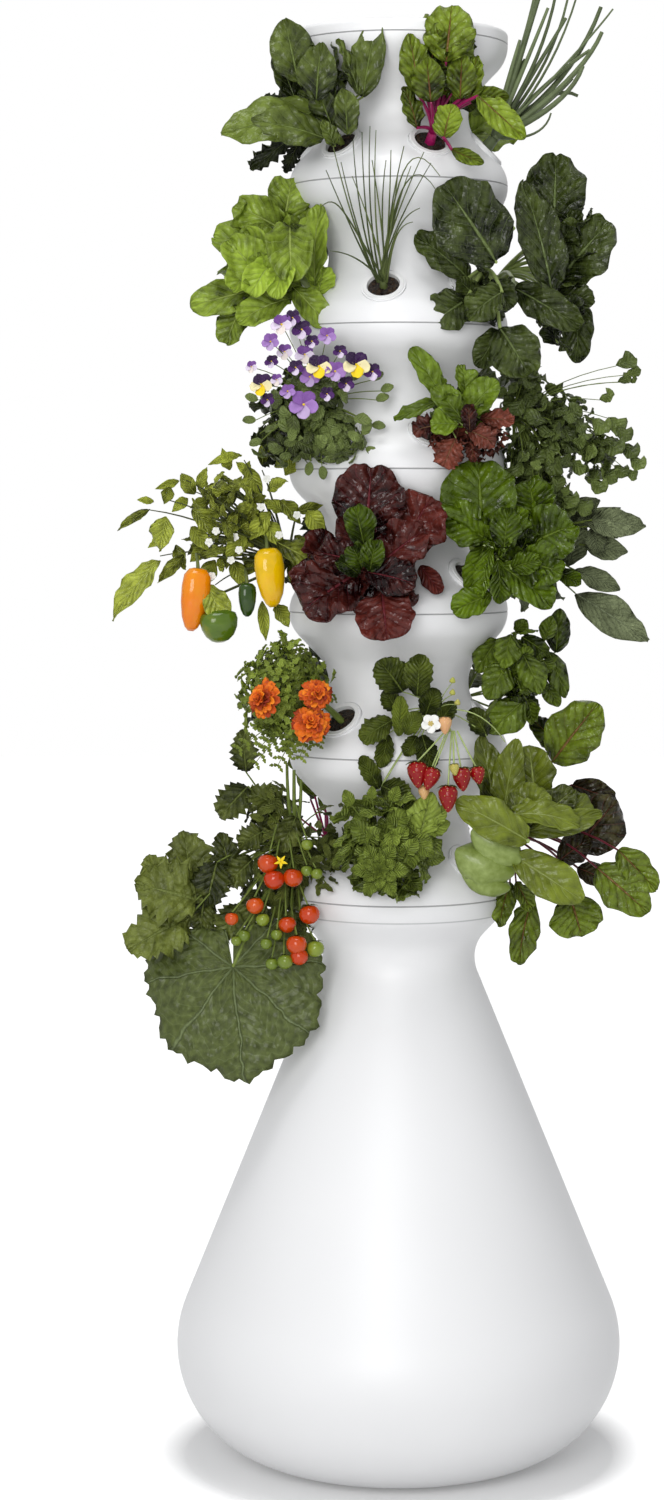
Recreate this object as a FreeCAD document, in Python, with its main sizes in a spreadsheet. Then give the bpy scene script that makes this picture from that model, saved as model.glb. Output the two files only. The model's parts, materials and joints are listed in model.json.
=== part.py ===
import FreeCAD, Part
import math
import os
import Sketcher
from FreeCAD import Placement, Rotation, Vector

# Vertical planter tower: a cone-shaped water reservoir with a neck, a deck ring on it,
# six stacked hourglass tiers with six planting ports each, and a lid.
# A submerged pump lifts the water through a riser pipe to a drip tray under the lid.
# Millimetres, +Z up, the origin is the centre of the reservoir's foot on the floor,
# and the front of the tower faces -Y.

SIZES = [
    # reservoir outline, from the foot up to the neck
    ("base_radius", 297), ("base_bend", 150), ("tank_wall", 4),
    ("neck_radius", 102.5), ("neck_height", 665), ("neck_bend", 55), ("deck_height", 749),
    ("shoulder_bend", 46), ("deck_ring_drop", 23),
    # where the reservoir's wall is parted into rings
    ("foot_top", 100), ("bowl_top", 215), ("cone_top", 402.5),
    # tiers: an hourglass section that repeats from seam to seam
    ("tier_pitch", 190), ("seam_radius", 147), ("waist_radius", 94), ("bulge_bend", 48),
    ("cone_slope", 44), ("tier_wall", 3.5), ("split_height", 55), ("edge_break", 1.2),
    ("spigot_gap", 2.2), ("spigot_wall", 2.5), ("spigot_depth", 12),
    ("ledge_width", 7), ("ledge_thick", 3),
    # planting ports and what sits in them
    ("ports_per_tier", 6), ("port_height", 49), ("port_hole", 24), ("port_land", 29.5),
    ("port_proud", 1.5), ("port_sleeve", 11), ("port_relief", 0.6), ("first_turn", -9.5),
    ("cup_play", 0.4), ("cup_rim", 27.5), ("cup_rim_thick", 1.8), ("cup_depth", 42),
    ("cup_foot", 17), ("cup_wall", 1.6), ("cup_slots", 8), ("cup_slot_width", 4),
    ("plug_recess", 5), ("plug_play", 0.3),
    # pipe guide inside each tier
    ("guide_play", 0.5), ("guide_ring", 9), ("guide_thick", 4), ("guide_hub", 20),
    ("guide_hub_tall", 12), ("guide_hole", 14.5), ("guide_arm", 6),
    # deck ring
    ("deck_plug_play", 0.8), ("deck_plug_depth", 12), ("deck_plate", 3), ("deck_hub", 20),
    ("deck_hub_tall", 12), ("drain_hole", 12), ("drain_circle", 75), ("drain_count", 8),
    # riser pipe
    ("pipe_radius", 11), ("pipe_wall", 2), ("pipe_play", 0.4), ("pipe_start", 130),
    ("pipe_joint_drop", 49), ("sleeve_radius", 13.4), ("sleeve_length", 36),
    ("spray_length", 41), ("spray_drop", 11), ("spray_hole", 1.5), ("spray_count", 8),
    # drip tray and lid
    ("tray_radius", 122), ("tray_thick", 2.5), ("tray_lip", 10), ("tray_play", 0.4),
    ("tray_hub", 18), ("drip_hole", 2.5), ("drip_circle", 78), ("drip_count", 12),
    ("lid_height", 17), ("lid_wall", 3), ("lid_round", 6),
    # filling port in the reservoir's back
    ("fill_height", 330), ("fill_land", 46), ("fill_hole", 38), ("fill_proud", 6),
    ("fill_sleeve", 14), ("cap_radius", 49), ("cap_height", 12), ("cap_play", 0.6),
    ("cap_plug_depth", 12), ("cap_wall", 3), ("cap_grip", 2.5), ("cap_grips", 24),
    ("seal_thick", 1.6),
    # cable grommet above the filling port
    ("grommet_height", 560), ("grommet_hole", 9), ("grommet_flange", 13),
    ("grommet_flange_thick", 3), ("grommet_bore", 4), ("grommet_play", 0.4),
    ("grommet_relief", 0.5), ("grommet_nose", 12), ("grommet_nose_wall", 2),
    # pump
    ("pump_foot_tall", 8), ("pump_foot_radius", 9), ("motor_width", 60), ("motor_length", 74),
    ("motor_height", 56), ("motor_round", 9), ("volute_radius", 26), ("volute_depth", 24),
    ("chamber_radius", 20), ("chamber_depth", 17), ("rotor_radius", 10), ("rotor_length", 34),
    ("rotor_gap", 1), ("impeller_radius", 17), ("vane_depth", 9), ("vane_thick", 2.5),
    ("vane_count", 6), ("hub_radius", 6), ("shaft_radius", 2), ("shaft_play", 0.05),
    ("shaft_seat", 5), ("outlet_boss", 11.4), ("boss_rise", 6), ("nozzle_seat", 8),
    ("nozzle_stub", 9.5), ("nozzle_bore", 7), ("nozzle_top", 108),
    ("hose_wall", 3.5), ("hose_start", 82), ("hose_end", 172), ("hose_play", 0.05),
    ("clamp_wall", 1.6), ("clamp_width", 10), ("clamp_screw", 4), ("clamp_inset", 4),
    ("strainer_radius", 25), ("strainer_length", 20), ("strainer_wall", 2),
    ("strainer_slots", 10), ("strainer_slot", 4),
    # plants, and the room kept between them and between a plant and the tower
    ("stem_radius", 7), ("stem_run", 12), ("crown_core", 11), ("stalk_radius", 4),
    ("leaf_thick", 3), ("blade_thick", 4.5), ("plant_gap", 1), ("shell_gap", 2),
]
TIERS = 6

doc = FreeCAD.newDocument("planter_tower")
sheet = doc.addObject("Spreadsheet::Sheet", "Sizes")
for row, (alias, size) in enumerate(SIZES, start=1):
    sheet.set("A%d" % row, alias)
    sheet.set("B%d" % row, str(size))
    sheet.setAlias("B%d" % row, alias)
doc.recompute()

nodes = []
faults = []


def cell(alias):
    """The expression that reads one size from the sheet."""
    return "Sizes." + alias


def number(expression):
    """What an expression in the sheet's sizes comes to now."""
    return float(sheet.evalExpression(expression))


def total(*terms):
    return "(" + " + ".join(terms) + ")"


def less(first, *others):
    return "(" + " - ".join((first,) + others) + ")"


def times(first, second):
    return "(" + first + " * " + second + ")"


def across(radius, offset):
    """How far out an arc of this radius is, this far from its centre's level."""
    return "sqrt(%s ^ 2 - %s ^ 2)" % (radius, offset)


SLOPE = "(Sizes.cone_slope * 1 deg)"
SIN = "sin(%s)" % SLOPE
COS = "cos(%s)" % SLOPE
TAN = "tan(%s)" % SLOPE


class Corner:
    """A corner of an outline, and how the outline leaves it.

    bend is the radius of the arc that leaves it, or None for a straight line.
    side is 1 where the arc's centre lies left of the way to the next corner, else -1.
    """

    def __init__(self, x, y, bend=None, side=1):
        self.x = x
        self.y = y
        self.bend = bend
        self.side = side


def plane_of(body, role):
    """The body's own origin plane or axis with this role."""
    return [datum for datum in body.Origin.OriginFeatures if datum.Role == role][0]


def arc_between(start, end, radius, side):
    """The circle arc from start to end, and whether it runs against the clock."""
    middle = (start + end) * 0.5
    chord = end - start
    left = Vector(-chord.y, chord.x, 0).normalize()
    rise = math.sqrt(max(radius ** 2 - (chord.Length / 2) ** 2, 0))
    centre = middle + left * (rise * side)
    first = math.atan2(start.y - centre.y, start.x - centre.x)
    last = math.atan2(end.y - centre.y, end.x - centre.x)
    circle = Part.Circle(centre, Vector(0, 0, 1), radius)
    if side > 0:
        return Part.ArcOfCircle(circle, first, last), True
    return Part.ArcOfCircle(circle, last, first), False


def pin_down(sketch, geometry, end, x, y):
    """Ties a point to the sheet by its two distances from the sketch's origin."""
    for kind, expression in (("DistanceX", x), ("DistanceY", y)):
        distance = Sketcher.Constraint(kind, -1, 1, geometry, end, number(expression))
        index = sketch.addConstraint(distance)
        sketch.setExpression("Constraints[%d]" % index, expression)


def outline(body, name, corners):
    """A closed sketch through the corners, each tied to the sheet."""
    sketch = body.newObject("Sketcher::SketchObject", name)
    sketch.AttachmentSupport = [(plane_of(body, "XZ_Plane"), "")]
    sketch.MapMode = "FlatFace"
    ends = []
    points = [Vector(number(corner.x), number(corner.y), 0) for corner in corners]
    for index, corner in enumerate(corners):
        start = points[index]
        end = points[(index + 1) % len(points)]
        if corner.bend is None:
            sketch.addGeometry(Part.LineSegment(start, end), False)
            ends.append((1, 2))
        else:
            arc, forward = arc_between(start, end, number(corner.bend), corner.side)
            sketch.addGeometry(arc, False)
            ends.append((1, 2) if forward else (2, 1))
    for index in range(len(corners)):
        after = (index + 1) % len(corners)
        joint = Sketcher.Constraint("Coincident", index, ends[index][1], after, ends[after][0])
        sketch.addConstraint(joint)
    for index, corner in enumerate(corners):
        pin_down(sketch, index, ends[index][0], corner.x, corner.y)
        if corner.bend is not None:
            radius = Sketcher.Constraint("Radius", index, number(corner.bend))
            constraint = sketch.addConstraint(radius)
            sketch.setExpression("Constraints[%d]" % constraint, corner.bend)
    return sketch


def new_body(label):
    body = doc.addObject("PartDesign::Body", label)
    body.Label = label
    return body


def turn(body, name, corners):
    """A revolved solid about the body's own Z axis."""
    sketch = outline(body, name + "_section", corners)
    feature = body.newObject("PartDesign::Revolution", name)
    feature.Profile = sketch
    feature.ReferenceAxis = (sketch, ["V_Axis"])
    feature.Angle = 360
    body.Tip = feature
    return feature


def place_by(thing, x="0", y="0", z="0", axis=Vector(0, 1, 0), angle=None):
    """Ties a feature's or body's place to the sheet."""
    thing.Placement = Placement(Vector(0, 0, 0), Rotation(axis, 1))
    thing.setExpression("Placement.Base.x", x)
    thing.setExpression("Placement.Base.y", y)
    thing.setExpression("Placement.Base.z", z)
    if angle is None:
        thing.Placement = Placement(Vector(0, 0, 0), Rotation())
    else:
        thing.setExpression("Placement.Rotation.Angle", "(%s) * 1 deg" % angle)


def round_bar(body, name, radius, length, cut=False, **place):
    """A cylinder added to the body or cut from it."""
    kind = "PartDesign::SubtractiveCylinder" if cut else "PartDesign::AdditiveCylinder"
    feature = body.newObject(kind, name)
    feature.setExpression("Radius", radius)
    feature.setExpression("Height", length)
    place_by(feature, **place)
    body.Tip = feature
    return feature


def block(body, name, size, cut=False, **place):
    """A box added to the body or cut from it."""
    kind = "PartDesign::SubtractiveBox" if cut else "PartDesign::AdditiveBox"
    feature = body.newObject(kind, name)
    for edge, expression in zip(("Length", "Width", "Height"), size):
        feature.setExpression(edge, expression)
    place_by(feature, **place)
    body.Tip = feature
    return feature


def ring_of(body, name, feature, count):
    """The feature repeated evenly about the body's own Z axis."""
    doc.recompute()
    pattern = body.newObject("PartDesign::PolarPattern", name)
    pattern.Originals = [feature]
    pattern.Axis = (plane_of(body, "Z_Axis"), [""])
    pattern.Angle = 360
    pattern.setExpression("Occurrences", count)
    body.Tip = pattern
    return pattern


def keep(thing, node=None):
    """Marks a finished sub-part: its Label is the name of its file."""
    if node is not None:
        thing.Label = node
    nodes.append(thing)
    return thing


def group(node, shapes):
    """Separate solids that share one node."""
    feature = doc.addObject("Part::Feature", node)
    feature.Shape = Part.makeCompound(shapes)
    return keep(feature, node)


# Outline of an hourglass tier, from its lower seam at z = 0 to the next seam
HALF = "(Sizes.tier_pitch / 2)"
INSET = "(Sizes.seam_radius - Sizes.waist_radius)"
BENDS = "((%s * %s - %s * %s) / (1 - %s))" % (HALF, SIN, INSET, COS, COS)
WAIST_BEND = "(%s - Sizes.bulge_bend)" % BENDS


def bulge_point(wall, level, sign, bend=cell("bulge_bend"), radius=cell("seam_radius")):
    """Where the bulge's arc at a seam meets the straight cone above or below it."""
    reach = less(bend, wall)
    x = total(less(radius, bend), times(reach, COS))
    y = total(level, times(sign, times(reach, SIN)))
    return x, y


def waist_point(wall, level, sign, bend=WAIST_BEND, radius=cell("waist_radius")):
    """Where the waist's arc meets the straight cone above or below it."""
    reach = total(bend, wall)
    x = less(total(radius, bend), times(reach, COS))
    y = total(level, times(sign, times(reach, SIN)))
    return x, y


def bulge_across(wall, offset, bend=cell("bulge_bend"), radius=cell("seam_radius")):
    """The bulge's radius this far above or below its seam."""
    return total(less(radius, bend), across(less(bend, wall), offset))


def cone_across(wall, height):
    """The lower cone's radius at this height above the tier's lower seam."""
    x, y = bulge_point(wall, "0", "1")
    return less(x, times(less(height, y), TAN))


WALL = cell("tier_wall")
BREAK = cell("edge_break")
PITCH = cell("tier_pitch")
SEAM = cell("seam_radius")
WAIST = cell("waist_radius")
SPLIT = cell("split_height")
BULGE_BEND = cell("bulge_bend")
SPIGOT = less(SEAM, WALL, cell("spigot_gap"))
SPIGOT_IN = less(SPIGOT, cell("spigot_wall"))
PORT_Z = cell("port_height")
PORT_X = cone_across("0", PORT_Z)
# The port's axis stands square to the cone, so it rises by the cone's own slope.
RISE_X = COS
RISE_Z = SIN


def along_port(distance):
    """The place on the port's axis this far out of the tier's surface."""
    return total(PORT_X, times(distance, RISE_X)), total(PORT_Z, times(distance, RISE_Z))


def port_bar(body, name, radius, start, length, cut):
    x, z = along_port(start)
    angle = "90 - Sizes.cone_slope"
    return round_bar(body, name, radius, length, cut, x=x, z=z, angle=angle)


def tier_level(tier):
    """Height of the lower seam of a tier; tier 1 is the top one."""
    return total(cell("deck_height"), times(str(TIERS - tier), PITCH))


def tier_turn(tier):
    """Neighbouring tiers are turned by half a port's spacing."""
    half = "180 / Sizes.ports_per_tier"
    return cell("first_turn") if tier % 2 else total(cell("first_turn"), half)


def set_in_tower(body, tier):
    place_by(body, z=tier_level(tier), axis=Vector(0, 0, 1), angle=tier_turn(tier))


def funnel(tier):
    """Upper part of a tier: waist, upper cone and the rounded rim under the next seam."""
    body = new_body("tier_%d_funnel" % tier)
    low_out = cone_across("0", SPLIT)
    low_in = cone_across(WALL, SPLIT)
    waist_in = less(WAIST, WALL)
    ledge_in = less(waist_in, cell("ledge_width"))
    ledge_low = less(HALF, cell("ledge_thick"))
    bend_in = total(WAIST_BEND, WALL)
    under_ledge = less(total(WAIST, WAIST_BEND), across(bend_in, cell("ledge_thick")))
    rim_in = less(BULGE_BEND, WALL)
    corners = [
        Corner(low_out, SPLIT),
        Corner(*waist_point("0", HALF, "-1"), WAIST_BEND, -1),
        Corner(*waist_point("0", HALF, "1")),
        Corner(*bulge_point("0", PITCH, "-1"), BULGE_BEND, 1),
        Corner(bulge_across("0", BREAK), less(PITCH, BREAK)),
        Corner(less(SEAM, BREAK), PITCH),
        Corner(less(SEAM, WALL), PITCH, rim_in, -1),
        Corner(*bulge_point(WALL, PITCH, "-1")),
        Corner(*waist_point(WALL, HALF, "1"), bend_in, 1),
        Corner(waist_in, HALF),
        Corner(ledge_in, HALF),
        Corner(ledge_in, ledge_low),
        Corner(under_ledge, ledge_low, bend_in, 1),
        Corner(*waist_point(WALL, HALF, "-1")),
        Corner(low_in, SPLIT),
    ]
    turn(body, "shell", corners)
    start = times("-1", cell("port_sleeve"))
    reach = times("2", cell("port_sleeve"))
    relief = total(cell("port_land"), cell("port_relief"))
    notch = port_bar(body, "land_notch", relief, times("1.5", start), times("1.5", reach), True)
    ring_of(body, "land_notches", notch, cell("ports_per_tier"))
    set_in_tower(body, tier)
    return keep(body)


def port_ring(tier):
    """Lower part of a tier: the cone with the ports, the lower rim and the spigot."""
    body = new_body("tier_%d_port_ring" % tier)
    web = WALL
    rim_in = less(BULGE_BEND, WALL)
    corners = [
        Corner(less(SEAM, BREAK), "0"),
        Corner(bulge_across("0", BREAK), BREAK, BULGE_BEND, 1),
        Corner(*bulge_point("0", "0", "1")),
        Corner(cone_across("0", SPLIT), SPLIT),
        Corner(cone_across(WALL, SPLIT), SPLIT),
        Corner(*bulge_point(WALL, "0", "1"), rim_in, -1),
        Corner(bulge_across(WALL, web), web),
        Corner(SPIGOT_IN, web),
        Corner(SPIGOT_IN, times("-1", cell("spigot_depth"))),
        Corner(SPIGOT, times("-1", cell("spigot_depth"))),
        Corner(SPIGOT, "0"),
    ]
    turn(body, "shell", corners)
    sleeve = times("-1", cell("port_sleeve"))
    land_length = total(cell("port_sleeve"), cell("port_proud"))
    land = port_bar(body, "land", cell("port_land"), sleeve, land_length, False)
    ring_of(body, "lands", land, cell("ports_per_tier"))
    far = times("2", sleeve)
    through = times("3", cell("port_sleeve"))
    hole = port_bar(body, "port", cell("port_hole"), far, through, True)
    ring_of(body, "ports", hole, cell("ports_per_tier"))
    set_in_tower(body, tier)
    return keep(body)


def port_places(tier):
    """The placements of a tier's ports: the origin at the land's face, Z out of the port."""
    level = number(tier_level(tier))
    count = int(number(cell("ports_per_tier")))
    x, z = (number(expression) for expression in along_port(cell("port_proud")))
    lean = Rotation(Vector(0, 1, 0), 90 - number(cell("cone_slope")))
    for port in range(count):
        about = Rotation(Vector(0, 0, 1), number(tier_turn(tier)) + port * 360.0 / count)
        yield Placement(about.multVec(Vector(x, 0, z)) + Vector(0, 0, level), about * lean)


def net_cup():
    """A tapered cup with a flat rim and slots in its side, its origin under the rim."""
    body = new_body("net_cup")
    rim = cell("cup_rim")
    thick = cell("cup_rim_thick")
    wall = cell("cup_wall")
    top = less(cell("port_hole"), cell("cup_play"))
    foot = cell("cup_foot")
    deep = times("-1", cell("cup_depth"))
    corners = [
        Corner(less(top, wall), thick),
        Corner(less(foot, wall), total(deep, wall)),
        Corner("0", total(deep, wall)),
        Corner("0", deep),
        Corner(foot, deep),
        Corner(top, "0"),
        Corner(rim, "0"),
        Corner(rim, less(thick, "Sizes.cup_rim_thick / 3")),
        Corner(less(rim, "Sizes.cup_rim_thick / 3"), thick),
    ]
    turn(body, "cup", corners)
    width = cell("cup_slot_width")
    size = (cell("cup_rim"), width, "(Sizes.cup_depth * 0.5)")
    slot = block(body, "slot", size, True, x="(Sizes.cup_foot * 0.6)",
                 y="(-Sizes.cup_slot_width / 2)", z=times(deep, "0.8"))
    ring_of(body, "slots", slot, cell("cup_slots"))
    return body


def grow_plug():
    """The plug of growing medium that fills a cup up to a little under its rim."""
    body = new_body("grow_plug")
    wall = cell("cup_wall")
    deep = times("-1", cell("cup_depth"))
    top = less(cell("port_hole"), cell("cup_play"), wall, cell("plug_play"))
    foot = less(cell("cup_foot"), wall, cell("plug_play"))
    floor = total(deep, wall)
    face = less(cell("cup_rim_thick"), cell("plug_recess"))
    taper = "((%s - %s) * Sizes.plug_recess / Sizes.cup_depth)" % (top, foot)
    corners = [
        Corner("0", floor),
        Corner(foot, floor),
        Corner(less(top, taper), face),
        Corner("0", face),
    ]
    turn(body, "plug", corners)
    return body


def placed(shape, places):
    copies = []
    for place in places:
        copy = shape.copy()
        copy.Placement = place
        copies.append(copy)
    return copies


def pipe_guide(tier):
    """A ring on the funnel's ledge, with three arms to a hub round the riser pipe."""
    body = new_body("tier_%d_pipe_guide" % tier)
    outer = less(WAIST, WALL, cell("guide_play"))
    inner = less(outer, cell("guide_ring"))
    thick = cell("guide_thick")
    turn(body, "ring", [Corner(inner, "0"), Corner(outer, "0"), Corner(outer, thick),
                        Corner(inner, thick)])
    arm_width = cell("guide_arm")
    arm = block(body, "arm", (less(inner, "-1"), arm_width, thick),
                y="(-Sizes.guide_arm / 2)")
    ring_of(body, "arms", arm, "3")
    doc.recompute()
    round_bar(body, "hub", cell("guide_hub"), cell("guide_hub_tall"))
    doc.recompute()
    round_bar(body, "pipe_hole", cell("guide_hole"), times("3", cell("guide_hub_tall")), True,
              z=times("-1", cell("guide_hub_tall")))
    level = total(tier_level(tier), HALF)
    place_by(body, z=level, axis=Vector(0, 0, 1), angle=tier_turn(tier))
    return keep(body)


# Outline of the reservoir: a rounded bowl, a straight cone, the neck and the shoulder
FOOT = less(cell("base_radius"), cell("base_bend"))
NECK_X = total(cell("neck_radius"), cell("neck_bend"))
RUN_X = less(NECK_X, FOOT)
RUN_Z = less(cell("neck_height"), cell("base_bend"))
REACH = "sqrt(%s ^ 2 + %s ^ 2)" % (RUN_X, RUN_Z)
CONE = "(asin((Sizes.base_bend + Sizes.neck_bend) / %s) - atan(%s / %s))" % (REACH, RUN_X, RUN_Z)
UPPER_HALF = less(cell("deck_height"), cell("neck_height"))
UPPER_INSET = less(SEAM, cell("neck_radius"))
UPPER_BENDS = "((%s * %s - %s * %s) / (1 - %s))" % (UPPER_HALF, SIN, UPPER_INSET, COS, COS)
UPPER_BEND = "(%s - Sizes.shoulder_bend)" % UPPER_BENDS
SHOULDER = cell("shoulder_bend")
TANK_WALL = cell("tank_wall")


def bowl_point(wall):
    reach = less(cell("base_bend"), wall)
    x = total(FOOT, times(reach, "cos(%s)" % CONE))
    y = total(cell("base_bend"), times(reach, "sin(%s)" % CONE))
    return x, y


def neck_point(wall):
    reach = total(cell("neck_bend"), wall)
    x = less(NECK_X, times(reach, "cos(%s)" % CONE))
    y = less(cell("neck_height"), times(reach, "sin(%s)" % CONE))
    return x, y


def tank_cone_across(height):
    x, y = bowl_point("0")
    return less(x, times(less(height, y), "tan(%s)" % CONE))


def tank_bar(body, name, height, radius, start, length, cut):
    """A bar square to the reservoir's cone at this height, on the body's +X side."""
    x = total(tank_cone_across(height), times(start, "cos(%s)" % CONE))
    z = total(height, times(start, "sin(%s)" % CONE))
    angle = "90 - %s / 1 deg" % CONE
    return round_bar(body, name, radius, length, cut, x=x, z=z, angle=angle)


def reservoir_tank():
    """The one-piece reservoir, open at the top, with the filling port in its back."""
    body = new_body("reservoir_tank")
    top = less(cell("deck_height"), cell("deck_ring_drop"))
    drop = cell("deck_ring_drop")
    neck = cell("neck_radius")
    height = cell("neck_height")
    deck = cell("deck_height")
    bend_in = total(UPPER_BEND, TANK_WALL)
    low_in = total(cell("neck_bend"), TANK_WALL)
    bowl_in = less(cell("base_bend"), TANK_WALL)
    shoulder_in = less(SHOULDER, TANK_WALL)
    upper = (UPPER_BEND, neck)
    corners = [
        Corner("0", "0"),
        Corner(FOOT, "0", cell("base_bend"), 1),
        Corner(*bowl_point("0")),
        Corner(*neck_point("0"), cell("neck_bend"), -1),
        Corner(neck, height, UPPER_BEND, -1),
        Corner(*waist_point("0", height, "1", *upper)),
        Corner(*bulge_point("0", deck, "-1", SHOULDER), SHOULDER, 1),
        Corner(bulge_across("0", drop, SHOULDER), top),
        Corner(bulge_across(TANK_WALL, drop, SHOULDER), top, shoulder_in, -1),
        Corner(*bulge_point(TANK_WALL, deck, "-1", SHOULDER)),
        Corner(*waist_point(TANK_WALL, height, "1", *upper), bend_in, 1),
        Corner(less(neck, TANK_WALL), height, low_in, 1),
        Corner(*neck_point(TANK_WALL)),
        Corner(*bowl_point(TANK_WALL), bowl_in, -1),
        Corner(FOOT, TANK_WALL),
        Corner("0", TANK_WALL),
    ]
    turn(body, "shell", corners)
    fill = cell("fill_height")
    sleeve = times("-1", cell("fill_sleeve"))
    land_length = total(cell("fill_sleeve"), cell("fill_proud"))
    tank_bar(body, "fill_land", fill, cell("fill_land"), sleeve, land_length, False)
    doc.recompute()
    tank_bar(body, "fill_port", fill, cell("fill_hole"), times("3", sleeve),
             times("5", cell("fill_sleeve")), True)
    doc.recompute()
    tank_bar(body, "cable_hole", cell("grommet_height"), cell("grommet_hole"),
             times("-4", TANK_WALL), times("8", TANK_WALL), True)
    place_by(body, axis=Vector(0, 0, 1), angle="90")
    return body


def reservoir_rings(tank):
    """The reservoir's wall as four rings that meet face to face, so that each is plain."""
    levels = [-FAR] + [number(cell(size)) for size in ("foot_top", "bowl_top", "cone_top")] + [FAR]
    names = ["reservoir_foot", "reservoir_bowl", "reservoir_cone", "reservoir_neck"]
    for node, low, high in zip(names, levels, levels[1:]):
        slab = Part.makeBox(2 * FAR, 2 * FAR, high - low, Vector(-FAR, -FAR, low))
        group(node, tank.Shape.common(slab).Solids)


def deck_ring():
    """The ring between reservoir and tiers, with a drained plate that holds the pipe."""
    body = new_body("deck_ring")
    drop = times("-1", cell("deck_ring_drop"))
    plate = less(cell("deck_ring_drop"), cell("deck_plate"))
    plate_top = less(plate, cell("deck_plate"))
    plug_low = total(cell("deck_ring_drop"), cell("deck_plug_depth"))
    # The tank's throat narrows below the ring, so the plug fits at its lower edge.
    throat, throat_level = bulge_point(TANK_WALL, "0", "-1", SHOULDER)
    throat_low = less(throat, times(less(plug_low, times("-1", throat_level)), TAN))
    plug = less(throat_low, cell("deck_plug_play"))
    plug_in = less(plug, cell("spigot_wall"))
    hub = cell("deck_hub")
    hub_top = less(cell("deck_hub_tall"), plate_top)
    hole = total(cell("pipe_radius"), cell("pipe_play"))
    ring_in = less(SHOULDER, WALL)
    corners = [
        Corner(less(SEAM, BREAK), "0"),
        Corner(less(SEAM, WALL), "0", ring_in, -1),
        Corner(bulge_across(WALL, plate_top, SHOULDER), times("-1", plate_top)),
        Corner(hub, times("-1", plate_top)),
        Corner(hub, hub_top),
        Corner(hole, hub_top),
        Corner(hole, times("-1", plate)),
        Corner(plug_in, times("-1", plate)),
        Corner(plug_in, times("-1", plug_low)),
        Corner(plug, times("-1", plug_low)),
        Corner(plug, drop),
        Corner(bulge_across("0", cell("deck_ring_drop"), SHOULDER), drop, SHOULDER, 1),
        Corner(bulge_across("0", BREAK, SHOULDER), times("-1", BREAK)),
    ]
    turn(body, "ring", corners)
    drain = round_bar(body, "drain", cell("drain_hole"), times("3", cell("deck_plate")), True,
                      x=cell("drain_circle"), z=times("-1", total(plate, cell("deck_plate"))))
    ring_of(body, "drains", drain, cell("drain_count"))
    place_by(body, z=cell("deck_height"))
    return keep(body)


def lid():
    """The flat lid: rounded top edge, and a spigot that drops into the top tier."""
    body = new_body("top_lid")
    top = cell("lid_height")
    wall = cell("lid_wall")
    bend = cell("lid_round")
    bend_in = less(bend, wall)
    depth = times("-1", cell("spigot_depth"))
    corners = [
        Corner(less(SEAM, BREAK), "0"),
        Corner(SEAM, BREAK),
        Corner(SEAM, less(top, bend), bend, 1),
        Corner(less(SEAM, bend), top),
        Corner("0", top),
        Corner("0", less(top, wall)),
        Corner(less(SEAM, bend), less(top, wall), bend_in, -1),
        Corner(less(SEAM, wall), less(top, bend)),
        Corner(less(SEAM, wall), wall),
        Corner(SPIGOT_IN, wall),
        Corner(SPIGOT_IN, depth),
        Corner(SPIGOT, depth),
        Corner(SPIGOT, "0"),
    ]
    turn(body, "lid", corners)
    place_by(body, z=total(cell("deck_height"), times(str(TIERS), PITCH)))
    return keep(body)


def drip_tray():
    """The shallow tray in the top tier that spreads the water: its edge follows the cone."""
    body = new_body("drip_tray")
    thick = cell("tray_thick")
    lip = cell("tray_lip")
    radius = cell("tray_radius")
    slant = times(lip, TAN)
    hub = cell("tray_hub")
    hole = cell("guide_hole")
    corners = [
        Corner(hole, "0"),
        Corner(radius, "0"),
        Corner(total(radius, slant), lip),
        Corner(less(total(radius, slant), thick), lip),
        Corner(less(radius, thick), thick),
        Corner(hub, thick),
        Corner(hub, lip),
        Corner(hole, lip),
    ]
    turn(body, "tray", corners)
    drip = round_bar(body, "drip", cell("drip_hole"), times("3", thick), True,
                     x=cell("drip_circle"), z=times("-1", thick))
    ring_of(body, "drips", drip, cell("drip_count"))
    # The tray lies where the cone's inner wall is this much wider than the tray's foot.
    x, y = bulge_point(WALL, PITCH, "-1")
    level = total(y, "((%s + Sizes.tray_play - %s) / %s)" % (radius, x, TAN))
    place_by(body, z=total(tier_level(1), level))
    return keep(body)


def tube(node, outer, inner, low, high):
    """A straight tube about the tower's axis."""
    body = new_body(node)
    turn(body, "tube", [Corner(inner, low), Corner(outer, low), Corner(outer, high),
                        Corner(inner, high)])
    return body


PIPE = cell("pipe_radius")
PIPE_IN = less(PIPE, cell("pipe_wall"))
FIRST_JOINT = less(cell("deck_height"), cell("pipe_joint_drop"))


def pipe_joint(count):
    return total(FIRST_JOINT, times(str(count), PITCH))


def riser_pipe():
    """The riser: a lower pipe from the pump hose, then one equal section for each tier."""
    keep(tube("riser_pipe_lower", PIPE, PIPE_IN, cell("pipe_start"), FIRST_JOINT))
    section = tube("riser_section", PIPE, PIPE_IN, "0", PITCH)
    half = "(Sizes.sleeve_length / 2)"
    bore = total(PIPE, cell("hose_play"))
    sleeve = tube("riser_sleeve", cell("sleeve_radius"), bore, times("-1", half), half)
    doc.recompute()
    levels = [number(pipe_joint(count)) for count in range(TIERS)]
    places = [Placement(Vector(0, 0, level), Rotation()) for level in levels]
    group("riser_pipe_sections", placed(section.Shape, places))
    group("riser_pipe_couplings", placed(sleeve.Shape, places))


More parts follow.
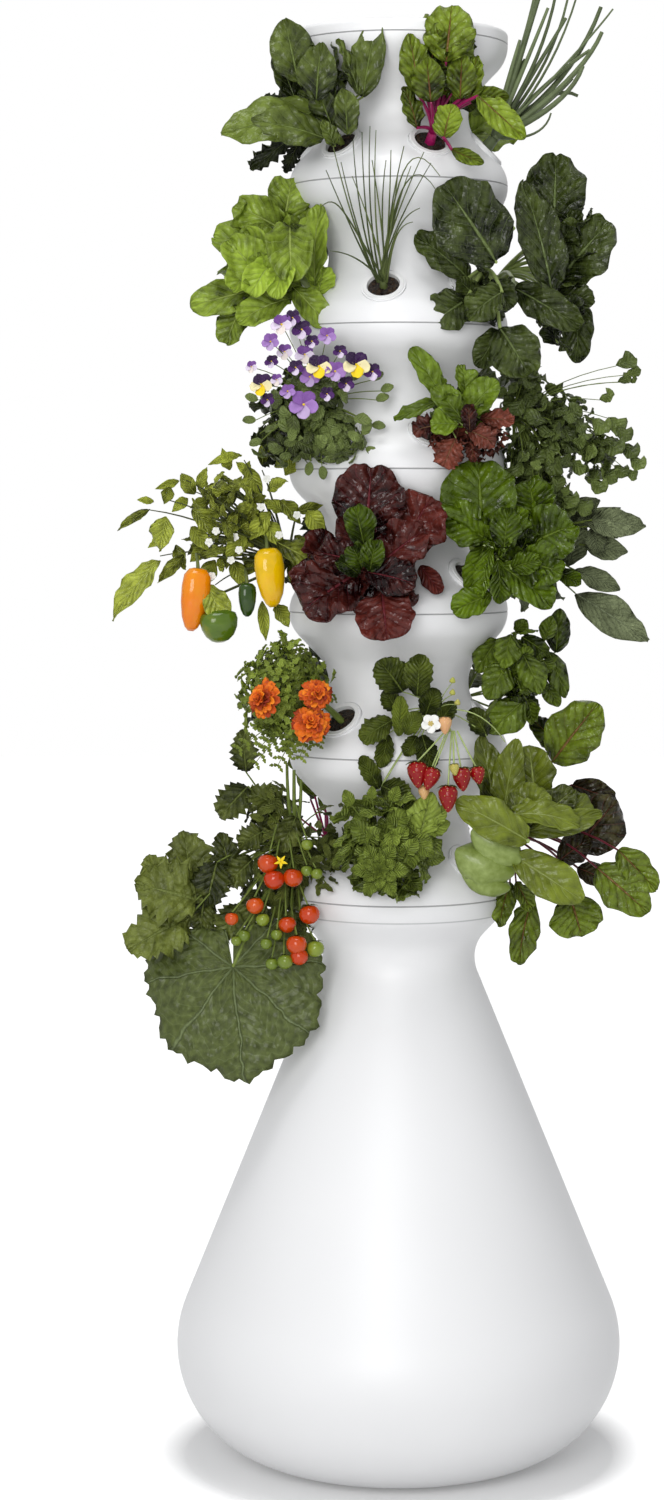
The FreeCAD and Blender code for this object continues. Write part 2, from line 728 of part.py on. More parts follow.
def spray_head():
    """The cap on the riser's upper end, with holes round its side."""
    body = new_body("spray_head")
    top = cell("spray_length")
    bore = total(PIPE, cell("hose_play"))
    outer = cell("sleeve_radius")
    wall = cell("pipe_wall")
    skirt = times("-1", cell("spray_drop"))
    corners = [
        Corner(bore, skirt),
        Corner(outer, skirt),
        Corner(outer, top),
        Corner("0", top),
        Corner("0", less(top, wall)),
        Corner(PIPE_IN, less(top, wall)),
        Corner(PIPE_IN, "0"),
        Corner(bore, "0"),
    ]
    turn(body, "cap", corners)
    hole = round_bar(body, "spray_hole", cell("spray_hole"), times("2", outer), True, x="1",
                     z=less(top, cell("spray_drop")), angle="90")
    ring_of(body, "spray_holes", hole, cell("spray_count"))
    place_by(body, z=pipe_joint(TIERS))
    return keep(body)


def tank_place(height, start):
    """A place on the line square to the reservoir's back at this height."""
    x = number(total(tank_cone_across(height), times(start, "cos(%s)" % CONE)))
    z = number(total(height, times(start, "sin(%s)" % CONE)))
    lean = Rotation(Vector(0, 1, 0), 90 - number("%s / 1 deg" % CONE))
    back = Rotation(Vector(0, 0, 1), 90)
    return Placement(back.multVec(Vector(x, 0, z)), back * lean)


def fill_cap():
    """The cap of the filling port: a gripped disc with a plug, and its flat seal."""
    body = new_body("fill_cap")
    seal = cell("seal_thick")
    top = total(seal, cell("cap_height"))
    radius = cell("cap_radius")
    plug = less(cell("fill_hole"), cell("cap_play"))
    wall = cell("cap_wall")
    depth = times("-1", cell("cap_plug_depth"))
    corners = [
        Corner("0", top),
        Corner("0", less(top, wall)),
        Corner(less(plug, wall), less(top, wall)),
        Corner(less(plug, wall), depth),
        Corner(plug, depth),
        Corner(plug, seal),
        Corner(radius, seal),
        Corner(radius, less(top, wall)),
        Corner(less(radius, wall), top),
    ]
    turn(body, "cap", corners)
    grip = round_bar(body, "grip", cell("cap_grip"), times("2", top), True,
                     x=total(radius, "Sizes.cap_grip / 3"))
    ring_of(body, "grips", grip, cell("cap_grips"))
    body.Placement = tank_place(cell("fill_height"), cell("fill_proud"))
    keep(body)
    ring = new_body("fill_cap_seal")
    inner = total(plug, cell("cap_play"))
    turn(ring, "seal", [Corner(inner, "0"), Corner(cell("fill_land"), "0"),
                        Corner(cell("fill_land"), seal), Corner(inner, seal)])
    ring.Placement = tank_place(cell("fill_height"), cell("fill_proud"))
    keep(ring)


def cable_grommet():
    """A rubber grommet in the hole where the pump's lead would pass, with a nose outside."""
    body = new_body("cable_grommet")
    bore = cell("grommet_bore")
    throat = total(bore, cell("grommet_relief"))
    flange = cell("grommet_flange")
    thick = cell("grommet_flange_thick")
    stem = less(cell("grommet_hole"), cell("grommet_play"))
    gap = cell("grommet_play")
    low = times("-1", total(TANK_WALL, times("2", gap)))
    brim = total(gap, thick)
    tip = total(brim, cell("grommet_nose"))
    corners = [
        Corner(throat, less(low, thick)),
        Corner(flange, less(low, thick)),
        Corner(flange, low),
        Corner(stem, low),
        Corner(stem, gap),
        Corner(flange, gap),
        Corner(less(flange, "Sizes.grommet_flange_thick / 2"), brim),
        Corner(stem, brim),
        Corner(total(bore, cell("grommet_nose_wall")), tip),
        Corner(bore, tip),
        Corner(bore, brim),
        Corner(throat, brim),
    ]
    turn(body, "grommet", corners)
    body.Placement = tank_place(cell("grommet_height"), "0")
    return keep(body)


# The pump stands on the reservoir's floor, its volute under the tower's axis.
# Its shaft is level and runs along Y: the intake faces -Y and the motor lies behind.
FLOOR = TANK_WALL
MOTOR_LOW = total(FLOOR, cell("pump_foot_tall"))
SHAFT_Z = total(MOTOR_LOW, times("0.5", cell("motor_height")))
FACE = times("-0.5", cell("volute_depth"))
CHAMBER_BACK = total(FACE, cell("chamber_depth"))
MOTOR_FRONT = times("0.5", cell("volute_depth"))
ROTOR_BACK = total(CHAMBER_BACK, cell("rotor_length"))
WELL_BACK = total(ROTOR_BACK, cell("rotor_gap"))
SHAFT_BACK = total(WELL_BACK, cell("shaft_seat"))
BOSS_TOP = total(SHAFT_Z, cell("volute_radius"), cell("boss_rise"))
NOZZLE_LOW = less(BOSS_TOP, cell("nozzle_seat"))


def level_bar(body, name, radius, start, end, cut):
    """A bar along Y on the pump shaft's line, from start to end."""
    return round_bar(body, name, radius, less(end, start), cut, y=start, z=SHAFT_Z,
                     axis=Vector(1, 0, 0), angle="-90")


def pump_body():
    """Motor housing and volute in one, with the outlet boss and the rotor's well."""
    body = new_body("pump_body")
    size = (cell("motor_width"), cell("motor_length"), cell("motor_height"))
    motor = block(body, "motor", size, x="(-Sizes.motor_width / 2)", y=MOTOR_FRONT, z=MOTOR_LOW)
    doc.recompute()
    upright = [index for index, edge in enumerate(motor.Shape.Edges, start=1)
               if abs(edge.tangentAt(edge.FirstParameter).z) > 0.9]
    rounds = body.newObject("PartDesign::Fillet", "rounded_edges")
    rounds.Base = (motor, ["Edge%d" % index for index in upright])
    rounds.setExpression("Radius", cell("motor_round"))
    body.Tip = rounds
    doc.recompute()
    level_bar(body, "volute", cell("volute_radius"), FACE, total(MOTOR_FRONT, "1"), False)
    doc.recompute()
    round_bar(body, "outlet_boss", cell("outlet_boss"), less(BOSS_TOP, SHAFT_Z), z=SHAFT_Z)
    doc.recompute()
    level_bar(body, "chamber", cell("chamber_radius"), less(FACE, "1"), CHAMBER_BACK, True)
    doc.recompute()
    well = total(cell("rotor_radius"), cell("rotor_gap"))
    level_bar(body, "rotor_well", well, less(CHAMBER_BACK, "1"), WELL_BACK, True)
    doc.recompute()
    level_bar(body, "shaft_hole", cell("shaft_radius"), less(WELL_BACK, "1"), SHAFT_BACK, True)
    doc.recompute()
    round_bar(body, "outlet_way", cell("nozzle_bore"), total(less(BOSS_TOP, SHAFT_Z), "1"), True,
              z=SHAFT_Z)
    doc.recompute()
    seat = total(cell("nozzle_stub"), cell("hose_play"))
    round_bar(body, "outlet_seat", seat, total(cell("nozzle_seat"), "1"), True, z=NOZZLE_LOW)
    return keep(body)


def impeller():
    """Six vanes on a hub, with the magnet rotor behind them, bored for the shaft."""
    body = new_body("pump_impeller")
    gap = cell("rotor_gap")
    front = total(FACE, gap)
    back = total(front, cell("vane_depth"))
    level_bar(body, "rotor", cell("rotor_radius"), less(back, "0.5"), ROTOR_BACK, False)
    doc.recompute()
    level_bar(body, "hub", cell("hub_radius"), front, back, False)
    doc.recompute()
    thick = cell("vane_thick")
    count = int(number(cell("vane_count")))
    for index in range(count):
        angle = index * 360.0 / count
        vane = block(body, "vane_%d" % index, (thick, cell("vane_depth"),
                                               cell("impeller_radius")),
                     axis=Vector(0, 1, 0), angle=str(angle))
        # A vane starts on the shaft's line, half its thickness to the side of it.
        corner = Rotation(Vector(0, 1, 0), angle).multVec(Vector(-0.5, 0, 0))
        vane.setExpression("Placement.Base.x", times("(%f)" % corner.x, thick))
        vane.setExpression("Placement.Base.y", front)
        vane.setExpression("Placement.Base.z", total(SHAFT_Z, times("(%f)" % corner.z, thick)))
        doc.recompute()
    bore = total(cell("shaft_radius"), cell("shaft_play"))
    level_bar(body, "bore", bore, less(front, "1"), total(ROTOR_BACK, "1"), True)
    return keep(body)


def pump_small_parts():
    """Shaft, suction feet, intake strainer, outlet nozzle, hose and hose clamps."""
    shaft = new_body("pump_shaft")
    level_bar(shaft, "shaft", cell("shaft_radius"), total(FACE, "0.5"), SHAFT_BACK, False)
    keep(shaft)

    foot = new_body("pump_foot")
    tall = cell("pump_foot_tall")
    radius = cell("pump_foot_radius")
    turn(foot, "cup", [Corner("0", "0"), Corner(radius, "0"), Corner(radius, "1"),
                       Corner(times("0.5", radius), times("0.5", tall)),
                       Corner(times("0.5", radius), tall), Corner("0", tall)])
    doc.recompute()
    half = number(cell("motor_width")) / 2 - number(radius)
    near = number(MOTOR_FRONT) + number(radius) + number(cell("motor_round"))
    far = number(MOTOR_FRONT) + number(cell("motor_length")) - number(radius)
    spots = [Vector(x, y, number(FLOOR)) for x in (-half, half) for y in (near, far)]
    group("pump_feet", placed(foot.Shape, [Placement(spot, Rotation()) for spot in spots]))

    strainer = new_body("pump_strainer")
    outer = cell("strainer_radius")
    wall = cell("strainer_wall")
    low = less(FACE, cell("strainer_length"))
    level_bar(strainer, "drum", outer, low, FACE, False)
    doc.recompute()
    level_bar(strainer, "inside", less(outer, wall), total(low, wall), total(FACE, "1"), True)
    doc.recompute()
    slots = int(number(cell("strainer_slots")))
    for index in range(slots):
        slot = block(strainer, "slot_%d" % index,
                     (cell("strainer_slot"), times("0.6", cell("strainer_length")), outer),
                     True, axis=Vector(0, 1, 0), angle=str((index + 0.5) * 360.0 / slots))
        about = Rotation(Vector(0, 1, 0), (index + 0.5) * 360.0 / slots)
        corner = about.multVec(Vector(-0.5, 0, 0))
        slot.setExpression("Placement.Base.x", "(%f * Sizes.strainer_slot)" % corner.x)
        slot.setExpression("Placement.Base.y", total(low, times("0.25", cell("strainer_length"))))
        depth = total(SHAFT_Z, "(%f * Sizes.strainer_slot)" % corner.z)
        slot.setExpression("Placement.Base.z", depth)
    keep(strainer)

    nozzle = new_body("pump_outlet")
    bore = cell("nozzle_bore")
    stub = cell("nozzle_stub")
    turn(nozzle, "nozzle", [Corner(bore, NOZZLE_LOW), Corner(stub, NOZZLE_LOW),
                            Corner(stub, BOSS_TOP), Corner(PIPE, BOSS_TOP),
                            Corner(PIPE, cell("nozzle_top")), Corner(bore, cell("nozzle_top"))])
    keep(nozzle)

    hose_in = total(PIPE, cell("hose_play"))
    hose_out = total(hose_in, cell("hose_wall"))
    keep(tube("pump_hose", hose_out, hose_in, cell("hose_start"), cell("hose_end")))

    clamp = new_body("hose_clamp")
    band_in = total(hose_out, cell("hose_play"))
    band = total(band_in, cell("clamp_wall"))
    width = cell("clamp_width")
    turn(clamp, "band", [Corner(band_in, "0"), Corner(band, "0"), Corner(band, width),
                         Corner(band_in, width)])
    doc.recompute()
    screw = cell("clamp_screw")
    round_bar(clamp, "screw", screw, times("2", width), x=total(band, times("0.7", screw)),
              y=width, z=times("0.5", width), axis=Vector(1, 0, 0), angle="90")
    doc.recompute()
    round_bar(clamp, "hose_way", band_in, width, True)
    doc.recompute()
    low_clamp = number(total(cell("hose_start"), cell("clamp_inset")))
    high_clamp = number(less(cell("hose_end"), width, cell("clamp_inset")))
    places = [Placement(Vector(0, 0, low_clamp), Rotation()),
              Placement(Vector(0, 0, high_clamp), Rotation(Vector(0, 0, 1), 140))]
    group("hose_clamps", placed(clamp.Shape, places))


# The plants. Each stands on its plug, as one solid with the main shape of its foliage.
STEM = number(cell("stem_radius"))
STEM_RUN = number(cell("stem_run"))
CORE = number(cell("crown_core"))
STALK = number(cell("stalk_radius"))
LEAF_THICK = number(cell("leaf_thick"))
BLADE_THICK = number(cell("blade_thick"))
PLANT_GAP = number(cell("plant_gap"))
SHELL_GAP = number(cell("shell_gap"))
# The stem's knee is a little thicker than the stem, and a leaf starts this far into the crown.
KNEE_SHARE = 1.15
ROOT_SHARE = 0.7
# Half the size of a block that is larger than any plant's room
FAR = 900.0


class Plant:
    """One kind of plant: where its crown is, which way it grows, and its foliage.

    crown and axis are (out, side, up) from the middle of the plug's face. rings are
    (count, first turn, rise, stalk, length, width) with angles in degrees. masses are
    (out, side, up, half size out, half size to the side, half size up) of fine foliage.
    reach is the size that shares the room between neighbours.
    """

    def __init__(self, crown, axis=(0.7, 0, 0.8), rings=(), masses=(), reach=80,
                 thick=LEAF_THICK):
        self.crown = crown
        self.axis = axis
        self.rings = rings
        self.masses = masses
        self.reach = reach
        self.thick = thick


SPINACH = Plant((14, 0, 20), (0.5, -0.1, 1), reach=105,
                rings=[(5, 15, 16, 42, 88, 62), (3, 60, 58, 46, 92, 62)])
RUBY_CHARD = Plant((12, 0, 18), (0.2, 0, 1), reach=100,
                   rings=[(3, 60, 42, 50, 62, 40), (4, 20, 74, 62, 104, 54)])
SPRING_ONION = Plant((12, 0, 16), (0.6, 0, 1), reach=100, thick=BLADE_THICK,
                     rings=[(4, 10, 62, 8, 215, 14), (3, 50, 80, 8, 240, 14)])
KALE = Plant((20, 0, 24), (0.8, 0, 0.7), reach=75,
             rings=[(5, 10, 18, 18, 68, 48), (3, 40, 55, 18, 62, 44)])
BUTTERHEAD = Plant((34, 0, 34), (0.8, 0, 0.8), reach=110,
                   rings=[(6, 0, 12, 8, 112, 88), (5, 36, 46, 8, 96, 78)])
CHIVES = Plant((10, 0, 12), (0.25, 0, 1), reach=90, thick=BLADE_THICK,
               rings=[(6, 0, 60, 4, 185, 9), (5, 30, 76, 4, 200, 9)])
TATSOI = Plant((32, 0, 26), (0.7, 0, 0.9), reach=112,
               rings=[(6, 0, 8, 32, 72, 62), (4, 45, 48, 46, 78, 66)])
VIOLA = Plant((40, 0, 44), reach=80, masses=[(52, -8, 58, 50, 60, 56)])
SMALL_LETTUCE = Plant((24, 6, 24), (0.6, 0.25, 0.9), reach=80,
                      rings=[(6, 0, 18, 10, 70, 54), (4, 40, 55, 10, 64, 48)])
CORIANDER = Plant((60, 0, 30), reach=90, masses=[(88, 0, 22, 78, 62, 58)])
PEPPER = Plant((90, 0, 40), reach=120,
               masses=[(148, 0, 52, 124, 72, 78), (158, 10, -20, 126, 46, 44)])
RED_HEAD = Plant((34, -8, 22), (0.9, -0.1, 0.75), reach=108,
                 rings=[(6, 0, 14, 8, 106, 90), (5, 36, 46, 8, 92, 80)])
ROMAINE = Plant((30, 8, 26), (0.7, 0.3, 0.8), reach=105,
                rings=[(6, 0, 14, 24, 84, 64), (4, 40, 50, 24, 82, 60)])
SAGE = Plant((40, 0, 20), (1, 0, 0.6), reach=95,
             rings=[(5, 0, 8, 46, 98, 44), (4, 40, 46, 46, 82, 40)])
MARIGOLD = Plant((40, -8, 32), reach=80,
                 masses=[(48, -12, 34, 44, 56, 50), (52, -16, -36, 36, 44, 48)])
STRAWBERRY = Plant((26, 0, 20), (0.7, 0, 0.9), reach=80, masses=[(62, 10, -50, 18, 40, 28)],
                   rings=[(6, 10, 4, 42, 50, 46), (4, 50, 50, 42, 50, 46)])
BASIL = Plant((30, 0, 44), (0.6, 0, 1), reach=88,
              rings=[(5, 0, 6, 10, 72, 54), (4, 45, 40, 18, 66, 50)])
TOMATO = Plant((60, 0, 26), reach=110,
               masses=[(92, 16, 12, 72, 76, 96), (118, 30, -175, 80, 9, 85),
                       (176, 16, -46, 88, 40, 56)])
MINT = Plant((34, 0, 28), reach=70, masses=[(38, 0, 30, 32, 62, 48)])
BOK_CHOY = Plant((34, 8, 12), (1, 0, 0.5), reach=110,
                 rings=[(6, 0, 18, 36, 92, 62), (4, 40, 55, 36, 88, 60)])
BEET = Plant((30, 0, 20), (0.9, 0, 0.9), reach=125,
             rings=[(6, 0, 8, 56, 124, 68), (4, 45, 50, 56, 112, 64)])

# The six ports of a tier run against the clock seen from above, the first at the tier's
# turn from +X. So port 3 is the left one, port 4 the front one and port 0 the right one.
PLANTING = {
    1: [SPRING_ONION, BUTTERHEAD, KALE, KALE, SPINACH, RUBY_CHARD],
    2: [TATSOI, BASIL, ROMAINE, BUTTERHEAD, CHIVES, TATSOI],
    3: [CORIANDER, SPINACH, SMALL_LETTUCE, KALE, VIOLA, SMALL_LETTUCE],
    4: [SAGE, BUTTERHEAD, KALE, PEPPER, RED_HEAD, ROMAINE],
    5: [BASIL, STRAWBERRY, TATSOI, KALE, MARIGOLD, STRAWBERRY],
    6: [BEET, MINT, RUBY_CHARD, TOMATO, MINT, BOK_CHOY],
}


class Port:
    """One planting port in the tower's frame, with the plant that grows from it."""

    def __init__(self, tier, index):
        place = list(port_places(tier))[index]
        sunk = number(less(cell("cup_rim_thick"), cell("plug_recess")))
        self.tier = tier
        self.plant = PLANTING[tier][index % len(PLANTING[tier])]
        self.outward = place.Rotation.multVec(Vector(0, 0, 1))
        self.foot = place.Base + self.outward * sunk
        self.radial = Vector(self.outward.x, self.outward.y, 0).normalize()
        self.side = Vector(-self.radial.y, self.radial.x, 0)
        self.crown = self.point(*self.plant.crown)
        out, side, up = self.plant.axis
        self.upward = (self.radial * out + self.side * side + Vector(0, 0, up)).normalize()
        if self.plant.rings:
            self.middle = self.crown + self.upward * (self.plant.reach * 0.45)
        else:
            self.middle = self.point(*self.plant.masses[0][:3])

    def point(self, out, side, up):
        """A place this far out, to the side and up from the plug's face."""
        return self.foot + self.radial * out + self.side * side + Vector(0, 0, up)


def leaf(stalk, length, width, thick):
    """A flat leaf along X: a narrow stalk, then a blade that is widest in the middle.

    It starts inside the crown, far enough from the middle to stay clear of other stalks.
    """
    half = thick
    start = CORE * ROOT_SHARE
    stalk = max(stalk, start + half)
    steps = 4
    edge = []
    for step in range(steps):
        part = step / steps
        edge.append((stalk + length * part, half + (width / 2 - half) * math.sin(math.pi * part)))
    corners = [Vector(start, half, 0), Vector(start, -half, 0)]
    corners += [Vector(x, -y, 0) for x, y in edge]
    corners.append(Vector(stalk + length, 0, 0))
    corners += [Vector(x, y, 0) for x, y in reversed(edge)]
    solid = flat_face(corners).extrude(Vector(0, 0, thick))
    solid.translate(Vector(0, 0, -thick / 2))
    return solid


def bar_between(start, end, radius, sides=10):
    """A straight bar of many flat sides from start to end."""
    run = end - start
    corners = [Vector(radius * math.cos(2 * math.pi * side / sides),
                      radius * math.sin(2 * math.pi * side / sides), 0) for side in range(sides)]
    bar = flat_face(corners).extrude(Vector(0, 0, run.Length))
    bar.Placement = Placement(start, Rotation(Vector(0, 0, 1), run))
    return bar


def leaf_turn(port, turned, raised):
    """The rotation of a leaf: X along it, Z on its upper side."""
    upward = port.upward
    outward = (port.radial - upward * upward.dot(port.radial)).normalize()
    side = upward.cross(outward)
    flat = outward * math.cos(turned) + side * math.sin(turned)
    along = flat * math.cos(raised) + upward * math.sin(raised)
    over = upward * math.cos(raised) - flat * math.sin(raised)
    return Rotation(along, over.cross(along), over, "XZY")


def flat_face(points):
    return Part.Face(Part.makePolygon(points + points[:1]))


def rounded_mass(centre, port, sizes, sides=12, bands=6):
    """An egg of flat faces with these half sizes out, to the side and up."""
    rows = []
    for band in range(1, bands):
        tilt = math.pi * band / bands
        rows.append([Vector(sizes[0] * math.sin(tilt) * math.cos(2 * math.pi * side / sides),
                            sizes[1] * math.sin(tilt) * math.sin(2 * math.pi * side / sides),
                            sizes[2] * math.cos(tilt)) for side in range(sides)])
    top = Vector(0, 0, sizes[2])
    faces = []
    for side in range(sides):
        after = (side + 1) % sides
        faces.append(flat_face([top, rows[0][side], rows[0][after]]))
        faces.append(flat_face([-top, rows[-1][after], rows[-1][side]]))
        for upper, lower in zip(rows, rows[1:]):
            faces.append(flat_face([upper[side], lower[side], lower[after], upper[after]]))
    mass = Part.Solid(Part.makeShell(faces))
    mass.Placement = Placement(centre, Rotation(port.radial, port.side, Vector(0, 0, 1), "XYZ"))
    return mass


def foliage(port):
    """All leaves and masses of a plant, joined at its crown."""
    plant = port.plant
    pieces = [rounded_mass(port.crown, port, (CORE, CORE, CORE), 10)]
    for count, first, rise, stalk, length, width in plant.rings:
        for index in range(count):
            turned = math.radians(first + index * 360.0 / count)
            piece = leaf(stalk, length, width, plant.thick)
            piece.Placement = Placement(port.crown, leaf_turn(port, turned, math.radians(rise)))
            pieces.append(piece)
    for mass in plant.masses:
        centre = port.point(*mass[:3])
        pieces.append(rounded_mass(centre, port, mass[3:]))
        if mass is not plant.masses[0] or plant.rings:
            pieces.append(bar_between(port.crown, centre, STALK))
    return pieces[0].multiFuse(pieces[1:])


def half_space(at, away):
    """A large block on the near side of the plane through a point."""
    turned = Rotation(Vector(0, 0, 1), away)
    block_shape = Part.makeBox(2 * FAR, 2 * FAR, FAR, Vector(-FAR, -FAR, -FAR))
    block_shape.Placement = Placement(at, turned)
    return block_shape


def room_of(port, others):
    """The room that a plant may fill, bounded by a plane towards each neighbour."""
    size = Vector(FAR, FAR, FAR)
    room = Part.makeBox(2 * FAR, 2 * FAR, 2 * FAR, port.middle - size)
    for other in others:
        away = other.middle - port.middle
        if other is port or away.Length > port.plant.reach + other.plant.reach + 120:
            continue
        share = port.plant.reach / (port.plant.reach + other.plant.reach)
        away_unit = Vector(away).normalize()
        at = port.middle + away_unit * (away.Length * share - PLANT_GAP)
        room = room.common(half_space(at, away_unit))
    return room


def keep_out(tier):
    """What a tier's foliage stays clear of: its own hourglass and a column past it.

    The column is as wide as the seams, so that a tier can be lifted with its plants.
    """
    low = number(tier_level(tier))
    pitch = number(PITCH)
    seam = number(SEAM) + SHELL_GAP
    waist = number(WAIST) + SHELL_GAP
    knee = number(waist_point("0", HALF, "1")[0]) + SHELL_GAP
    knee_level = number(waist_point("0", HALF, "1")[1]) - pitch / 2
    brow = number(bulge_point("0", PITCH, "-1")[0]) + 2 * SHELL_GAP
    brow_level = number(bulge_point("0", PITCH, "-1")[1]) - pitch / 2
    # The rounded rim bulges, so the section runs straight up past half of it.
    rim_part = (pitch / 2 - brow_level) / 2
    bowl = number(cell("base_bend"))
    floor = number(cell("neck_height")) - number(cell("neck_bend"))
    top = low + pitch * TIERS
    middle = low + pitch / 2
    section = [
        Vector(0, 0, floor), Vector(seam, 0, floor), Vector(seam, 0, low + rim_part),
        Vector(brow, 0, middle - brow_level), Vector(knee, 0, middle - knee_level),
        Vector(waist, 0, middle), Vector(knee, 0, middle + knee_level),
        Vector(brow, 0, middle + brow_level), Vector(seam, 0, low + pitch - rim_part),
        Vector(seam, 0, top), Vector(0, 0, top),
    ]
    column = turned_solid(section)
    tank_top = number(tank_cone_across(str(floor))) + 2 * SHELL_GAP
    tank_low = number(tank_cone_across(cell("base_bend"))) + 2 * SHELL_GAP
    cone = [Vector(0, 0, bowl), Vector(tank_low, 0, bowl), Vector(tank_top, 0, floor),
            Vector(0, 0, floor)]
    return column.fuse(turned_solid(cone))


def turned_solid(section):
    """The solid that a closed section in the XZ plane sweeps about the tower's axis."""
    wire = Part.makePolygon(section + section[:1])
    return Part.Face(wire).revolve(Vector(0, 0, 0), Vector(0, 0, 1), 360)


def plants(tier, ports):
    """The plants of a tier: foliage trimmed to its room, on a stem that meets its plug."""
    solids = []
    tower = keep_out(tier)
    rim = number(cell("port_land")) + SHELL_GAP
    inside = number(cell("port_sleeve")) + number(cell("plug_recess"))
    outside = number(cell("plug_recess")) + SHELL_GAP
    for port in ports:
        if port.tier != tier:
            continue
        start = port.foot - port.outward * inside
        land = Part.makeCylinder(rim, inside + outside, start, port.outward)
        knee = port.foot + port.outward * STEM_RUN
        thick = STEM * KNEE_SHARE
        stem = [bar_between(port.foot, knee, STEM),
                rounded_mass(knee, port, (thick, thick, thick), 8, 4),
                bar_between(knee, port.crown, STEM)]
        leaves = foliage(port).common(room_of(port, ports)).cut(tower.fuse(land))
        # What the trimming parts from the main leaves falls away.
        leaves = max(leaves.Solids, key=lambda solid: solid.Volume)
        whole = leaves.multiFuse(stem)
        if len(whole.Solids) != 1 or len(whole.Shells) != 1 or not whole.isValid():
            faults.append("tier %d, crown at %s: %d pieces, %d shells"
                          % (tier, port.plant.crown, len(whole.Solids), len(whole.Shells)))
        solids += whole.Solids
    return solids


tank = reservoir_tank()
deck_ring()
fill_cap()
cable_grommet()
pump_body()
impeller()
pump_small_parts()
riser_pipe()
spray_head()
cup = net_cup()
plug = grow_plug()
doc.recompute()
reservoir_rings(tank)
port_count = int(number(cell("ports_per_tier")))
ports = [Port(tier, index) for tier in PLANTING for index in range(port_count)]
for tier in range(1, TIERS + 1):
    funnel(tier)
    port_ring(tier)
    pipe_guide(tier)
    group("tier_%d_net_cups" % tier, placed(cup.Shape, port_places(tier)))
    group("tier_%d_grow_plugs" % tier, placed(plug.Shape, port_places(tier)))
    group("tier_%d_plants" % tier, plants(tier, ports))
drip_tray()
lid()
doc.recompute()

if faults:
    raise RuntimeError("plants that did not build: %s" % "; ".join(faults))
for thing in doc.Objects:
    if "Invalid" in thing.State or "Error" in thing.State:
        raise RuntimeError("%s did not build" % thing.Label)
os.makedirs("parts", exist_ok=True)
for thing in nodes:
    shape = thing.Shape
    if shape.isNull() or not shape.isValid():
        raise RuntimeError("%s has no valid shape" % thing.Label)
    shape.exportStep("parts/%s.step" % thing.Label)
print(len(nodes), "sub-parts written")
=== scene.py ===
"""Looks of a vertical planter tower: white shells, planting cups and six rings of growing plants.

Lengths are in metres, angles in degrees where a name says so, and places are in the frame's own
axes: X to the right in the photograph, Y away from the camera, Z up.
"""
import json
import math
import random
from dataclasses import dataclass

import bmesh
import bpy
from mathutils import Matrix, Vector, noise

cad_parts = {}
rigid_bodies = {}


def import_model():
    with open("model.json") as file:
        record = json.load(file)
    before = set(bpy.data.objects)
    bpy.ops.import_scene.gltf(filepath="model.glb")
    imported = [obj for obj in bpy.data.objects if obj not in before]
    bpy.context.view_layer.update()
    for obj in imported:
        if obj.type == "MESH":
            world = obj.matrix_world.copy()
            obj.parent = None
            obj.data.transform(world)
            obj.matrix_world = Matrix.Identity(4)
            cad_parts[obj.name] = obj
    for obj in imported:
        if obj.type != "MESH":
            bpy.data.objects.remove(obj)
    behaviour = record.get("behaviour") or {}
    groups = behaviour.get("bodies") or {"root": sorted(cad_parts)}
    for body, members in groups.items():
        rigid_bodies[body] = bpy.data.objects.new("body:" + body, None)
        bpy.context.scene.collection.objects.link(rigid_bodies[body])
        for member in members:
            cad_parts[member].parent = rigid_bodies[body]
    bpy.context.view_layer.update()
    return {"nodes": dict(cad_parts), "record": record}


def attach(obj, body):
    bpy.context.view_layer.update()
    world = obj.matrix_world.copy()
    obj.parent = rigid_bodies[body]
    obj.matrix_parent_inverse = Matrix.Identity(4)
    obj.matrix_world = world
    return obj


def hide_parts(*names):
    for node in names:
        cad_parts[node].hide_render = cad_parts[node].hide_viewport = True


for leftover in list(bpy.data.objects):
    bpy.data.objects.remove(leftover)
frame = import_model()

# The photograph: 664 by 1500 pixels, taken level from in front of the tower.
FOCAL = 3204.3
CAMERA_AWAY = 4.3117
CAMERA_HIGH = 1.266
AXIS_PIXEL = 398.5
HORIZON_PIXEL = 509.2
PHOTO_WIDE = 664
PHOTO_TALL = 1500
SENSOR_TALL = 36.0

# The tower, as the frame has it.
TIER_PITCH = 0.190
DECK_LEVEL = 0.749
DECK_DROP = 0.023
PORT_RADIUS = 0.11719
PORT_RISE = 0.04782
PORT_TILT = 44.0
ODD_TURN = -9.5
EVEN_TURN = 20.5
TOWARDS_CAMERA = Vector((0, -1, 0.28)).normalized()
UP = Vector((0, 0, 1))

# The floor, and how finely the shells are shaded.
FLOOR_REACH = 12.0
FLOOR_LEVEL = -0.0005
MERGE_DISTANCE = 0.000005
SHARP_EDGE = math.radians(32)

# The bend of the reservoir's bowl: the middle of its round in plan and in height, and the level
# where two of the reservoir's rings meet in it.
BOWL_MIDDLE = 0.147
BOWL_HEIGHT = 0.150
BOWL_JOINT = 0.1


def at(px, py, depth):
    """The place seen at a photograph's pixel, this many metres nearer the camera than the axis."""
    scale = FOCAL / (CAMERA_AWAY - depth)
    return Vector(((px - AXIS_PIXEL) / scale, -depth, CAMERA_HIGH - (py - HORIZON_PIXEL) / scale))


def pixel_length(pixels, depth):
    """How long this many of the photograph's pixels are at a depth."""
    return pixels * (CAMERA_AWAY - depth) / FOCAL


